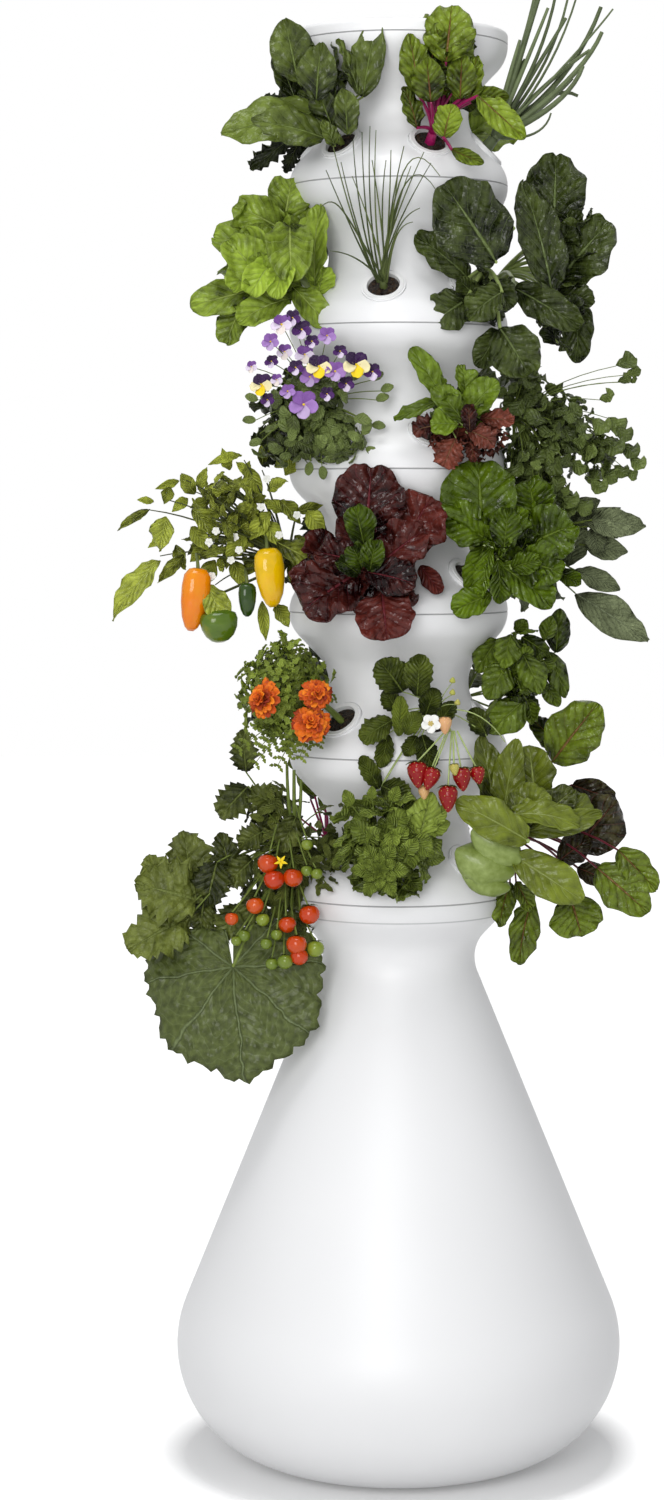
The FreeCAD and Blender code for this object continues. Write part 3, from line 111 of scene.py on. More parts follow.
class Port:
    """One planting port: its foot on the shell, and the directions out, aside and along it."""

    def __init__(self, tier, number):
        turn = math.radians((ODD_TURN if tier % 2 else EVEN_TURN) + 60 * number)
        level = DECK_LEVEL + (6 - tier) * TIER_PITCH
        self.tier = tier
        self.out = Vector((math.cos(turn), math.sin(turn), 0))
        self.side = Vector((-math.sin(turn), math.cos(turn), 0))
        self.foot = self.out * PORT_RADIUS + UP * (level + PORT_RISE)
        tilt = math.radians(PORT_TILT)
        self.axis = self.out * math.cos(tilt) + UP * math.sin(tilt)
        self.mouth = self.foot + self.axis * 0.006

    def place(self, out, side, up):
        return self.foot + self.out * out + self.side * side + UP * up


# Finishes


def tree_node(tree, kind, links=None, **settings):
    """A new node in a tree, with its settings and its inputs: other nodes' outputs, or values."""
    node = tree.nodes.new(kind)
    for key, value in settings.items():
        setattr(node, key, value)
    for socket, source in (links or {}).items():
        if hasattr(source, "is_output"):
            tree.links.new(source, node.inputs[socket])
        else:
            node.inputs[socket].default_value = source
    return node


class Finish:
    """A material and short ways to put nodes into it."""

    def __init__(self, name):
        self.material = bpy.data.materials.new(name)
        self.material.use_nodes = True
        self.tree = self.material.node_tree
        self.shader = self.tree.nodes["Principled BSDF"]

    def node(self, kind, links=None, **settings):
        return tree_node(self.tree, kind, links, **settings)

    def sum(self, operation, first, second=0.5, third=0.0, clamp=False):
        node = self.node("ShaderNodeMath", {0: first, 1: second, 2: third}, operation=operation)
        node.use_clamp = clamp
        return node.outputs[0]

    def blend(self, share, first, second):
        node = self.node("ShaderNodeMix", {0: share, 6: first, 7: second}, data_type="RGBA")
        return node.outputs[2]

    def ramp(self, share, stops):
        node = self.node("ShaderNodeValToRGB", {0: share})
        points = node.color_ramp.elements
        while len(points) < len(stops):
            points.new(1.0)
        for point, (place, colour) in zip(points, stops):
            point.position = place
            point.color = (*colour, 1)
        return node.outputs[0]

    def between(self, value, low, high, low_out=0.0, high_out=1.0):
        node = self.node("ShaderNodeMapRange", {0: value, 1: low, 2: high, 3: low_out, 4: high_out})
        return node.outputs[0]

    def place(self):
        return self.node("ShaderNodeTexCoord").outputs["Object"]

    def shade(self):
        return self.node("ShaderNodeAttribute", attribute_name="shade").outputs["Fac"]

    def noise(self, scale, detail=3.0, roughness=0.5):
        node = self.node("ShaderNodeTexNoise", {
            "Vector": self.place(), "Scale": scale, "Detail": detail, "Roughness": roughness})
        return node.outputs[0]

    def cells(self, scale, feature="SMOOTH_F1"):
        node = self.node("ShaderNodeTexVoronoi", {"Vector": self.place(), "Scale": scale},
                         feature=feature)
        return node.outputs["Distance"]

    def bump(self, height, distance, strength=1.0):
        node = self.node("ShaderNodeBump", {"Height": height, "Distance": distance,
                                            "Strength": strength})
        self.tree.links.new(node.outputs[0], self.shader.inputs["Normal"])

    def colour(self, source):
        if hasattr(source, "is_output"):
            self.tree.links.new(source, self.shader.inputs["Base Color"])
        else:
            self.shader.inputs["Base Color"].default_value = (*source, 1)

    def set(self, **values):
        for name, value in values.items():
            socket = name.replace("_", " ").title().replace("Ior", "IOR")
            self.shader.inputs[socket].default_value = value
        return self.material


def moulded_plastic(name, tone, roughness, grain, tint=(1, 1, 1), seams=()):
    """Moulded plastic, slightly cloudy with a fine grain, with painted shade of the open joint at each
    seam.
    """
    finish = Finish(name)
    low = tuple(tone * 0.985 * part for part in tint) + (1,)
    high = tuple(tone * part for part in tint) + (1,)
    plastic = finish.blend(finish.between(finish.noise(5.0, 2.0), 0.35, 0.65), low, high)
    if seams:
        height = finish.node("ShaderNodeSeparateXYZ", {0: finish.place()}).outputs[2]
        painted_joint_shade = 0.0
        for level, dark in seams:
            away = finish.sum("ABSOLUTE", finish.sum("SUBTRACT", height, level))
            drawn = finish.between(away, SEAM_CORE, SEAM_EDGE, dark, 0.0)
            painted_joint_shade = finish.sum("MAXIMUM", painted_joint_shade, drawn)
        # Painted shade: a dark line along each seam where the open joint would hold shadow.
        plastic = finish.blend(painted_joint_shade, plastic, (0.10, 0.1, 0.105, 1))
    finish.colour(plastic)
    finish.bump(finish.noise(900.0, 2.0), 0.0001, grain)
    return finish.set(roughness=roughness, specular_ior_level=0.5)


def leaf_finish(name, deep, fresh, rib, gloss, veins, vein_show, pucker, cell=90.0):
    """A leaf's skin: ribs from the leaf's own map, blisters between them with painted light on their
    swellings, and a mottled green that follows each point's shade, painted shade included.
    """
    finish = Finish(name)
    place = finish.node("ShaderNodeUVMap", uv_map="leaf").outputs[0]
    split = finish.node("ShaderNodeSeparateXYZ", {0: place})
    along = split.outputs[0]
    away = finish.sum("ABSOLUTE", finish.sum("MULTIPLY_ADD", split.outputs[1], 2.0, -1.0))
    wander = finish.sum("MULTIPLY_ADD", finish.noise(28.0, 3.0), 1.1, -0.55)
    slant = finish.sum("MULTIPLY", finish.sum("POWER", away, 0.8), 0.34)
    ribs = finish.sum("MULTIPLY", finish.sum("SUBTRACT", along, slant), float(veins))
    near_rib = finish.sum("PINGPONG", finish.sum("ADD", ribs, wander), 0.5)
    fine_rib = finish.sum("PINGPONG", finish.sum("MULTIPLY", finish.sum(
        "ADD", finish.sum("ADD", along, finish.sum("MULTIPLY", away, 0.5)),
        finish.sum("MULTIPLY", wander, 0.12)), veins * 2.6), 0.5)
    taper = finish.sum("DIVIDE", away, finish.sum("SUBTRACT", 1.12, along))
    middle = finish.between(taper, 0.035, 0.085, 1.0, 0.0)
    side_ribs = finish.between(near_rib, 0.015, 0.07, 0.8, 0.0)
    fine_ribs = finish.between(fine_rib, 0.02, 0.09, 0.28, 0.0)
    drawn = finish.sum("MAXIMUM", side_ribs, fine_ribs)
    mottle = finish.sum("MULTIPLY_ADD", finish.noise(34.0, 5.0, 0.7), 1.5, -0.75)
    # Painted light and shade: paler on the swellings between side ribs, darker towards the ribs, as the
    # bump rises and falls.
    pale = finish.sum("MULTIPLY_ADD", near_rib, 0.3, -0.07)
    fill = finish.sum("ADD", finish.sum("ADD", finish.shade(), mottle), pale, clamp=True)
    low = tuple(part * 0.5 for part in deep) + (1,)
    high = tuple(part * 1.3 for part in fresh) + (1,)
    green = finish.blend(fill, low, high)
    ribbed = finish.blend(finish.sum("MULTIPLY", drawn, vein_show), green, (*rib, 1))
    finish.colour(finish.blend(finish.sum("MULTIPLY", middle, 0.75), ribbed, (*rib, 1)))
    swelling = finish.sum("MULTIPLY", near_rib, 0.8)
    small_cells = finish.sum("MULTIPLY", finish.cells(cell * 2.3), 0.35)
    puckers = finish.sum("ADD", finish.cells(cell), small_cells)
    blisters = finish.sum("SUBTRACT", swelling, finish.sum("MULTIPLY", puckers, 1.1))
    grooves = finish.sum("ADD", finish.sum("MULTIPLY", middle, 0.4),
                         finish.sum("MULTIPLY", drawn, 0.12))
    finish.bump(finish.sum("SUBTRACT", blisters, grooves), 0.0048, pucker)
    return finish.set(roughness=gloss * 0.85, specular_ior_level=0.22)


def plain_finish(name, deep, fresh, roughness, scale=150.0, coat=0.0):
    """A skin or stalk whose colour wanders between two, with a fine relief."""
    finish = Finish(name)
    mottle = finish.sum("MULTIPLY_ADD", finish.noise(scale, 3.0), 0.8, -0.4)
    share = finish.sum("ADD", finish.shade(), mottle, clamp=True)
    finish.colour(finish.blend(share, (*deep, 1), (*fresh, 1)))
    finish.bump(finish.noise(scale * 2, 3.0), 0.0006, 0.6)
    return finish.set(roughness=roughness, coat_weight=coat, coat_roughness=0.1,
                      specular_ior_level=0.16)


def petal_finish(name, stops):
    """Petals coloured by their own shade, with a faint pale grain."""
    finish = Finish(name)
    grain = finish.between(finish.noise(500.0, 2.0), 0.3, 0.7, 0.0, 0.04)
    finish.colour(finish.blend(grain, finish.ramp(finish.shade(), stops), (0.9, 0.85, 0.9, 1)))
    finish.bump(finish.noise(700.0, 2.0), 0.0003, 0.5)
    return finish.set(roughness=0.6, specular_ior_level=0.12)


# The shade in the fine joints: full to the core's half height, gone at the edge's.
SEAM_CORE = 0.0004
SEAM_EDGE = 0.0013
TIER_SEAMS = [(DECK_LEVEL + TIER_PITCH * step, 0.60) for step in range(7)]
DECK_SEAM = (DECK_LEVEL - DECK_DROP, 0.45)

SHELL_WHITE = moulded_plastic("shell_white", 0.86, 0.42, 0.25, (0.99, 0.992, 1.0),
                              TIER_SEAMS + [DECK_SEAM])
CUP_WHITE = moulded_plastic("cup_white", 0.85, 0.36, 0.2)
PIPE_WHITE = moulded_plastic("pipe_white", 0.72, 0.35, 0.3, (1.0, 0.99, 0.96))
PUMP_BLACK = moulded_plastic("pump_black", 0.03, 0.38, 0.5)
BLACK_RUBBER = moulded_plastic("black_rubber", 0.025, 0.65, 0.7)


def ground_fibre():
    """The growing plug: dark bark and fibre with lighter chips."""
    finish = Finish("growing_fibre")
    chips = finish.cells(420.0, feature="F1")
    finish.colour(finish.ramp(chips, [(0.0, (0.10, 0.07, 0.045)), (0.35, (0.035, 0.024, 0.018)),
                                      (0.8, (0.008, 0.006, 0.005))]))
    finish.bump(finish.sum("ADD", chips, finish.noise(800.0, 4.0)), 0.002, 1.0)
    return finish.set(roughness=0.95)


def steel_finish():
    """The hose clamps' and the pump shaft's brushed steel."""
    finish = Finish("clamp_steel")
    finish.colour((0.62, 0.62, 0.64))
    finish.bump(finish.noise(600.0, 2.0), 0.0001, 0.4)
    return finish.set(metallic=1.0, roughness=0.28)


FIBRE = ground_fibre()
STEEL = steel_finish()

# Camera, floor and light


def set_camera():
    """The photograph's own camera, level and off the tower's middle."""
    camera = bpy.data.cameras.new("camera")
    camera.sensor_fit = "VERTICAL"
    camera.sensor_height = SENSOR_TALL
    camera.lens = FOCAL / PHOTO_TALL * SENSOR_TALL
    camera.shift_x = -(AXIS_PIXEL - PHOTO_WIDE / 2) / PHOTO_TALL
    camera.shift_y = -(PHOTO_TALL / 2 - HORIZON_PIXEL) / PHOTO_TALL
    camera.clip_end = 60.0
    holder = bpy.data.objects.new("camera", camera)
    holder.location = (0, -CAMERA_AWAY, CAMERA_HIGH)
    holder.rotation_euler = (math.radians(90), 0, 0)
    bpy.context.collection.objects.link(holder)
    bpy.context.scene.camera = holder


def softbox(name, place, energy, wide, tall):
    """A soft lamp that looks at the tower's middle."""
    light = bpy.data.lights.new(name, "AREA")
    light.energy = energy
    light.shape = "RECTANGLE"
    light.size = wide
    light.size_y = tall
    holder = bpy.data.objects.new(name, light)
    holder.location = place
    holder.rotation_euler = (UP - Vector(place)).to_track_quat("-Z", "Y").to_euler()
    bpy.context.collection.objects.link(holder)


def seen_straight(tree):
    """1 for what the camera, a mirror or clear glass sees, else 0."""
    path = tree_node(tree, "ShaderNodeLightPath")
    total = path.outputs["Is Camera Ray"]
    for ray in ("Is Glossy Ray", "Is Transmission Ray"):
        add = tree_node(tree, "ShaderNodeMath", {0: total, 1: path.outputs[ray]}, operation="ADD",
                        use_clamp=True)
        total = add.outputs[0]
    return total


def set_world():
    """Even studio light, white where the camera looks past the tower."""
    world = bpy.data.worlds.new("studio")
    bpy.context.scene.world = world
    world.use_nodes = True
    tree = world.node_tree
    tree.nodes.clear()
    lit = tree_node(tree, "ShaderNodeBackground", {
        "Color": (0.97, 0.98, 1.0, 1), "Strength": 0.40})
    seen = tree_node(tree, "ShaderNodeBackground", {"Color": (1, 1, 1, 1), "Strength": 1.0})
    mix = tree_node(tree, "ShaderNodeMixShader", {
        0: seen_straight(tree), 1: lit.outputs[0], 2: seen.outputs[0]})
    tree_node(tree, "ShaderNodeOutputWorld", {0: mix.outputs[0]})


def studio_floor():
    """A wide pale floor that reads as white to the camera and still takes the shadow, with a painted
    shadow round the tower's foot.
    """
    finish = Finish("floor_white")
    finish.colour((0.80, 0.80, 0.80))
    finish.set(roughness=0.9, specular_ior_level=0.1)
    away = finish.node("ShaderNodeVectorMath", {0: finish.place()}, operation="LENGTH")
    # Painted shadow: the glow the camera sees is weaker within a ring round the tower's foot, so the
    # floor reads darker there.
    glow = finish.node("ShaderNodeEmission", {
        "Color": (1, 1, 1, 1),
        "Strength": finish.between(away.outputs["Value"], 0.285, 0.350, 0.15, 0.75)})
    plain = finish.shader.outputs[0]
    both = finish.node("ShaderNodeAddShader", {0: plain, 1: glow.outputs[0]})
    pick = finish.node("ShaderNodeMixShader", {
        0: seen_straight(finish.tree), 1: plain, 2: both.outputs[0]})
    finish.tree.links.new(pick.outputs[0], finish.tree.nodes["Material Output"].inputs[0])
    mesh = bpy.data.meshes.new("studio_floor")
    corners = [(x * FLOOR_REACH, y * FLOOR_REACH, FLOOR_LEVEL)
               for x, y in ((-1, -1), (1, -1), (1, 1), (-1, 1))]
    mesh.from_pydata(corners, [], [(0, 1, 2, 3)])
    mesh.materials.append(finish.material)
    floor = bpy.data.objects.new("studio_floor", mesh)
    bpy.context.collection.objects.link(floor)


set_camera()
set_world()
studio_floor()
bpy.context.scene.view_settings.view_transform = "Standard"
softbox("front_softbox", (-0.9, -5.2, 2.2), 150, 2.2, 2.8)
softbox("top_softbox", (-0.2, -1.0, 4.4), 40, 1.4, 1.4)

# Shells and fittings


def body_of_node(name):
    """The body that a CAD node moves with."""
    bodies = frame["record"]["behaviour"]["bodies"]
    return next(body for body, members in bodies.items() if name in members)


def finish_piece(piece, body, stands_for=None):
    """Puts a piece in the scene, riding on its body and perhaps for a CAD node."""
    bpy.context.collection.objects.link(piece)
    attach(piece, body)
    if stands_for:
        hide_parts(stands_for)
    return piece


def smoothed(node, material):
    """A merged copy of a CAD node, shaded smooth up to its real edges, in the node's place."""
    mesh = frame["nodes"][node].data.copy()
    mesh.name = node + "_shown"
    work = bmesh.new()
    work.from_mesh(mesh)
    bmesh.ops.remove_doubles(work, verts=work.verts, dist=MERGE_DISTANCE)
    for face in work.faces:
        face.smooth = True
    for edge in work.edges:
        edge.smooth = len(edge.link_faces) == 2 and edge.calc_face_angle(0) < SHARP_EDGE
    work.to_mesh(mesh)
    work.free()
    if mesh.attributes.get("custom_normal"):
        mesh.attributes.remove(mesh.attributes["custom_normal"])
    mesh.materials.clear()
    mesh.materials.append(material)
    piece = bpy.data.objects.new(node + "_shown", mesh)
    return finish_piece(piece, body_of_node(node), node)


def paint(node, material):
    """Gives a CAD node its finish where it is shown as it is."""
    mesh = frame["nodes"][node].data
    if not mesh.materials:
        mesh.materials.append(material)
    for place in range(len(mesh.materials)):
        frame["nodes"][node].material_slots[place].material = material


def bend_normals(piece):
    """Shades a ring of the reservoir as part of the bowl's bend where two rings meet."""
    mesh = piece.data
    normals = [corner.vector.copy() for corner in mesh.corner_normals]
    for face in mesh.polygons:
        if abs(face.normal.z) > 0.999:
            continue
        for corner in face.loop_indices:
            spot = mesh.vertices[mesh.loops[corner].vertex_index].co
            if abs(spot.z - BOWL_JOINT) > 0.0005:
                continue
            flat = Vector((spot.x, spot.y, 0))
            outward = flat.normalized() * (flat.length - BOWL_MIDDLE)
            away = (outward + UP * (spot.z - BOWL_HEIGHT)).normalized()
            normals[corner] = away if away.dot(face.normal) > 0 else -away
    mesh.normals_split_custom_set(normals)


for shell in [node for node in frame["nodes"] if node.startswith("reservoir_")]:
    ring = smoothed(shell, SHELL_WHITE)
    if shell in ("reservoir_foot", "reservoir_bowl"):
        bend_normals(ring)
for shell in ("deck_ring", "top_lid"):
    smoothed(shell, SHELL_WHITE)
for tier in range(1, 7):
    smoothed("tier_%d_funnel" % tier, SHELL_WHITE)
    smoothed("tier_%d_port_ring" % tier, SHELL_WHITE)
    smoothed("tier_%d_net_cups" % tier, CUP_WHITE)
    paint("tier_%d_grow_plugs" % tier, FIBRE)
    paint("tier_%d_pipe_guide" % tier, PIPE_WHITE)
smoothed("fill_cap", SHELL_WHITE)
for part, material in {
        "fill_cap_seal": BLACK_RUBBER, "cable_grommet": BLACK_RUBBER, "drip_tray": SHELL_WHITE,
        "pump_body": PUMP_BLACK, "pump_impeller": PUMP_BLACK, "pump_shaft": STEEL,
        "pump_feet": BLACK_RUBBER, "pump_strainer": PUMP_BLACK, "pump_outlet": PUMP_BLACK,
        "pump_hose": BLACK_RUBBER, "hose_clamps": STEEL, "riser_pipe_lower": PIPE_WHITE,
        "riser_pipe_sections": PIPE_WHITE, "riser_pipe_couplings": PIPE_WHITE,
        "spray_head": PIPE_WHITE}.items():
    paint(part, material)

# Leaves


@dataclass
class LeafForm:
    """How one kind of leaf is cut, cupped and ruffled. Shares are of the leaf's half width."""

    widest: float = 1.0
    full: float = 0.6
    teeth: int = 0
    tooth: float = 0.0
    waves: float = 2.5
    wave: float = 0.08
    cup: float = 0.15
    quilt: float = 0.06
    veins: int = 6
    keel: float = 0.06
    along: int = 18
    across: int = 8
    heel: float = 0.10
    tip: float = 0.10
    crumple: float = 0.45

    def __post_init__(self):
        self.along = max(self.along, 2 * self.teeth)

    def span(self, share):
        """The width along the leaf, as a share of the widest."""
        body = max(math.sin(math.pi * share ** self.widest), 0.0) ** self.full
        least = self.heel * (1 - share) + self.tip * share
        return max(body, least)

    def rise(self, share, aside, phase):
        """How far a point stands off the flat leaf, as a share of the half width there."""
        ribs = math.sin(math.pi * self.veins * (share - 0.34 * abs(aside)))
        swell = self.quilt * abs(ribs) * min(abs(aside) * 4, 1) * (1.15 - abs(aside))
        ruffle = self.wave * math.sin(2 * math.pi * self.waves * share + phase
                                      + (1.3 if aside > 0 else 0)) * aside * aside
        groove = self.keel * math.exp(-(aside / 0.14) ** 2)
        return self.cup * aside * aside + ruffle + swell - groove


class Sheets:
    """Leaf sheets gathered into one mesh, each point with its place on the leaf and its shade."""

    def __init__(self):
        self.points = []
        self.faces = []
        self.places = []
        self.shades = []

    def leaf(self, form, heel, tip, half, face, arch=0.1, twist=0.0, shade=0.5, phase=0.0,
             notch=None):
        """One leaf from its heel to its tip, arched over and cut, cupped and ruffled by its form."""
        chord = tip - heel
        length = chord.length
        ahead = chord / length
        over = (face - ahead * face.dot(ahead)).normalized()
        knee = heel + chord * 0.5 + over * (arch * length)
        first = len(self.points)
        for row in range(form.along + 1):
            share = 0.5 - 0.5 * math.cos(math.pi * row / form.along)
            spot = heel * (1 - share) ** 2 + knee * (2 * share * (1 - share)) + tip * share ** 2
            run = ((knee - heel) * (1 - share) + (tip - knee) * share).normalized()
            lift = (over - run * over.dot(run)).normalized()
            lift = Matrix.Rotation(math.radians(twist) * (share - 0.3), 3, run) @ lift
            side = run.cross(lift)
            width = half * form.span(share) * (notch(share) if notch else 1.0)
            for column in range(form.across + 1):
                aside = 2.0 * column / form.across - 1
                cut = 1 - form.tooth * (row % 2) * aside ** 4
                cut *= 1 + 0.18 * noise.noise(Vector((share * 5, 3 if aside > 0 else 9, phase)))
                stand = half * form.span(share) * form.rise(share, aside, phase)
                point = spot + side * (width * aside * cut) + lift * stand
                crease = noise.noise(point * (1.5 / half) + Vector((phase, 0, 0))) \
                    + 0.5 * noise.noise(point * (3.6 / half))
                self.points.append(point + lift * (crease * half * form.crumple * abs(aside) ** 0.6))
                self.places.append((share, (aside + 1) / 2))
                # Painted shade: each point darker towards the leaf's heel and where its crease sinks
                # back, lighter where the crease stands out.
                self.shades.append(shade - 0.3 * (1 - share) ** 2 + 0.25 * crease)
        self.weave(first, form.along, form.across)

    def weave(self, first, along, across):
        """Faces over a grid of points."""
        for row in range(along):
            for column in range(across):
                corner = first + row * (across + 1) + column
                self.faces.append((corner, corner + 1, corner + across + 2, corner + across + 1))

    def fan(self, middle, ahead, face, radius, outline, rings=6, spokes=48, dish=0.1, ruffle=0.03,
            waves=5):
        """A palmate leaf: round its stalk's end, with lobes from the outline(turn) function."""
        ahead = ahead.normalized()
        over = (face - ahead * face.dot(ahead)).normalized()
        side = over.cross(ahead)
        first = len(self.points)
        for ring in range(rings + 1):
            part = max(ring / rings, 0.002)
            for spoke in range(spokes + 1):
                turn = (2 * spoke / spokes - 1) * math.pi * 0.97
                reach = radius * part * (1 + (outline(turn) - 1) * part)
                lift = radius * (dish * part * part
                                 + ruffle * math.sin(waves * turn * 2 + 1.0) * part * part
                                 + 0.025 * abs(math.sin(turn * 3.5)) * part)
                self.points.append(middle + ahead * (reach * math.cos(turn))
                                   + side * (reach * math.sin(turn)) + over * lift)
                self.places.append((part, spoke / spokes))
                self.shades.append(0.5)
        self.weave(first, rings, spokes)

    def piece(self, name, material, thick=0.0006):
        """The gathered leaves as one object, with a skin on both sides."""
        mesh = bpy.data.meshes.new(name)
        mesh.from_pydata(self.points, [], self.faces)
        for polygon in mesh.polygons:
            polygon.use_smooth = True
        chart = mesh.uv_layers.new(name="leaf")
        for corner in mesh.loops:
            chart.data[corner.index].uv = self.places[corner.vertex_index]
        shade = mesh.attributes.new("shade", "FLOAT", "POINT")
        for place, value in enumerate(self.shades):
            shade.data[place].value = value
        mesh.materials.append(material)
        piece = bpy.data.objects.new(name, mesh)
        skin = piece.modifiers.new("thickness", "SOLIDIFY")
        skin.thickness = thick
        skin.offset = 0.0
        return piece


# Trees of nodes that repeat


def new_tree(name, inputs):
    """A geometry tree with named inputs; gives the tree and its input node."""
    tree = bpy.data.node_groups.new(name, "GeometryNodeTree")
    tree.interface.new_socket("Geometry", in_out="INPUT", socket_type="NodeSocketGeometry")
    for label, kind, start in inputs:
        socket = tree.interface.new_socket(label, in_out="INPUT", socket_type=kind)
        if start is not None:
            socket.default_value = start
    tree.interface.new_socket("Geometry", in_out="OUTPUT", socket_type="NodeSocketGeometry")
    return tree, tree.nodes.new("NodeGroupInput")


def end_tree(tree, geometry, finish):
    """Realizes what was set out and gives it its finish."""
    real = tree_node(tree, "GeometryNodeRealizeInstances", {"Geometry": geometry})
    painted = tree_node(tree, "GeometryNodeSetMaterial",
                        {"Geometry": real.outputs[0], "Material": finish})
    smooth = tree_node(tree, "GeometryNodeSetShadeSmooth", {0: painted.outputs[0]})
    tree_node(tree, "NodeGroupOutput", {0: smooth.outputs[0]})


def stalk_tree():
    """Round stalks along the paths of a mesh's edges, as thick as the points say."""
    tree, given = new_tree("stalks_along_paths", [("Sides", "NodeSocketInt", 6),
                                                  ("Fatness", "NodeSocketFloat", 1.0),
                                                  ("Finish", "NodeSocketMaterial", None)])
    thick = tree_node(tree, "GeometryNodeInputNamedAttribute", {"Name": "thick"}, data_type="FLOAT")
    fat = tree_node(tree, "ShaderNodeMath", {0: thick.outputs[0], 1: given.outputs["Fatness"]},
                    operation="MULTIPLY")
    curve = tree_node(tree, "GeometryNodeMeshToCurve", {0: given.outputs["Geometry"]})
    ring = tree_node(tree, "GeometryNodeCurvePrimitiveCircle",
                     {"Resolution": given.outputs["Sides"], "Radius": 1.0})
    body = tree_node(tree, "GeometryNodeCurveToMesh",
                     {"Curve": curve.outputs[0], "Profile Curve": ring.outputs[0],
                      "Scale": fat.outputs[0], "Fill Caps": True})
    end_tree(tree, body.outputs[0], given.outputs["Finish"])
    return tree


def set_out_tree():
    """Copies of one small piece on a mesh's points, turned and sized as the points say."""
    tree, given = new_tree("pieces_on_points", [("Piece", "NodeSocketObject", None),
                                                ("Fatness", "NodeSocketFloat", 1.0),
                                                ("Finish", "NodeSocketMaterial", None)])
    piece = tree_node(tree, "GeometryNodeObjectInfo", {"Object": given.outputs["Piece"]})
    turn = tree_node(tree, "GeometryNodeInputNamedAttribute", {"Name": "turn"},
                     data_type="FLOAT_VECTOR")
    rotation = tree_node(tree, "FunctionNodeEulerToRotation", {0: turn.outputs[0]})
    size = tree_node(tree, "GeometryNodeInputNamedAttribute", {"Name": "size"}, data_type="FLOAT")
    fat = tree_node(tree, "ShaderNodeMath", {0: size.outputs[0], 1: given.outputs["Fatness"]},
                    operation="MULTIPLY")
    laid = tree_node(tree, "GeometryNodeInstanceOnPoints",
                     {"Points": given.outputs["Geometry"], "Instance": piece.outputs["Geometry"],
                      "Rotation": rotation.outputs[0], "Scale": fat.outputs[0]})
    end_tree(tree, laid.outputs[0], given.outputs["Finish"])
    return tree


STALK_TREE = stalk_tree()
SET_OUT_TREE = set_out_tree()


def plain_mesh(source):
    """The mesh that an object's modifiers make; the object itself is taken away."""
    depsgraph = bpy.context.evaluated_depsgraph_get()
    made = bpy.data.meshes.new_from_object(source.evaluated_get(depsgraph), depsgraph=depsgraph)
    bpy.data.objects.remove(source)
    return made


def grown(name, mesh, tree, **inputs):
    """The plain mesh that a geometry tree makes of a mesh, as a new object."""
    seed = bpy.data.objects.new(name + "_seed", mesh)
    bpy.context.collection.objects.link(seed)
    modifier = seed.modifiers.new("tree", "NODES")
    modifier.node_group = tree
    for item in tree.interface.items_tree:
        if item.in_out == "INPUT" and item.name in inputs:
            modifier[item.identifier] = inputs[item.name]
    made = plain_mesh(seed)
    made.name = name
    return bpy.data.objects.new(name, made)


def fill_attribute(mesh, name, kind, values):
    """Gives each point of a mesh a named value for its tree."""
    attribute = mesh.attributes.new(name, kind, "POINT")
    key = "vector" if kind == "FLOAT_VECTOR" else "value"
    flat = [part for value in values for part in value] if key == "vector" else values
    attribute.data.foreach_set(key, flat)


class Paths:
    """Stalks, blades and twigs: each a smooth path that tapers."""

    def __init__(self):
        self.points = []
        self.edges = []
        self.thick = []
        self.shades = []

    def add(self, places, start, end, shade=0.5, steps=7):
        """A path that leaves the first place towards the second and arrives at the last."""
        first = len(self.points)
        count = steps * (len(places) - 1) // 2 + 1 if len(places) > 3 else steps
        for step in range(count + 1):
            share = step / count
            self.points.append(bezier(places, share))
            self.thick.append(start + (end - start) * share)
            self.shades.append(shade)
            if step:
                self.edges.append((first + step - 1, first + step))

    def piece(self, name, material, sides=6):
        mesh = bpy.data.meshes.new(name)
        mesh.from_pydata(self.points, self.edges, [])
        fill_attribute(mesh, "thick", "FLOAT", self.thick)
        fill_attribute(mesh, "shade", "FLOAT", self.shades)
        return grown(name, mesh, STALK_TREE, Sides=sides, Finish=material)


def bezier(places, share):
    """The place at a share of the smooth path that these places bend."""
    rest = list(places)
    while len(rest) > 1:
        rest = [a.lerp(b, share) for a, b in zip(rest, rest[1:])]
    return rest[0]


class Spots:
    """Where copies of a small piece go: its place, the way it points, its face and its size."""

    def __init__(self):
        self.places = []
        self.turns = []
        self.sizes = []
        self.shades = []

    def add(self, place, ahead, face, size, shade=0.5):
        ahead = ahead.normalized()
        over = face - ahead * face.dot(ahead)
        if over.length < 0.001:
            over = ahead.orthogonal()
        over.normalize()
        side = over.cross(ahead)
        self.places.append(place)
        self.turns.append(tuple(Matrix((ahead, side, over)).transposed().to_euler()))
        self.sizes.append(size)
        self.shades.append(shade)

    def piece(self, name, template, material):
        """The small piece at every place, as one object."""
        mesh = bpy.data.meshes.new(name)
        mesh.from_pydata(self.places, [], [])
        fill_attribute(mesh, "turn", "FLOAT_VECTOR", self.turns)
        fill_attribute(mesh, "size", "FLOAT", self.sizes)
        fill_attribute(mesh, "shade", "FLOAT", self.shades)
        return grown(name, mesh, SET_OUT_TREE, Piece=template, Finish=material)


def small_leaf(name, form, wide, arch=0.12, notch=None):
    """A leaf one unit long along X, kept aside to be set out many times."""
    sheets = Sheets()
    sheets.leaf(form, Vector((0, 0, 0)), Vector((1, 0, 0)), wide / 2, UP, arch, notch=notch)
    return kept_aside(name, sheets, 0.012)


def kept_aside(name, sheets, thick):
    """Sheets as a small piece out of the scene, whose shade comes from where it is set out."""
    piece = sheets.piece(name, None, thick)
    bpy.context.collection.objects.link(piece)
    mesh = plain_mesh(piece)
    mesh.attributes.remove(mesh.attributes["shade"])
    return bpy.data.objects.new(name, mesh)


# A plant in its port

# The turn from one place to the next that spreads places evenly over a ball.
GOLDEN_TURN = 2.399963


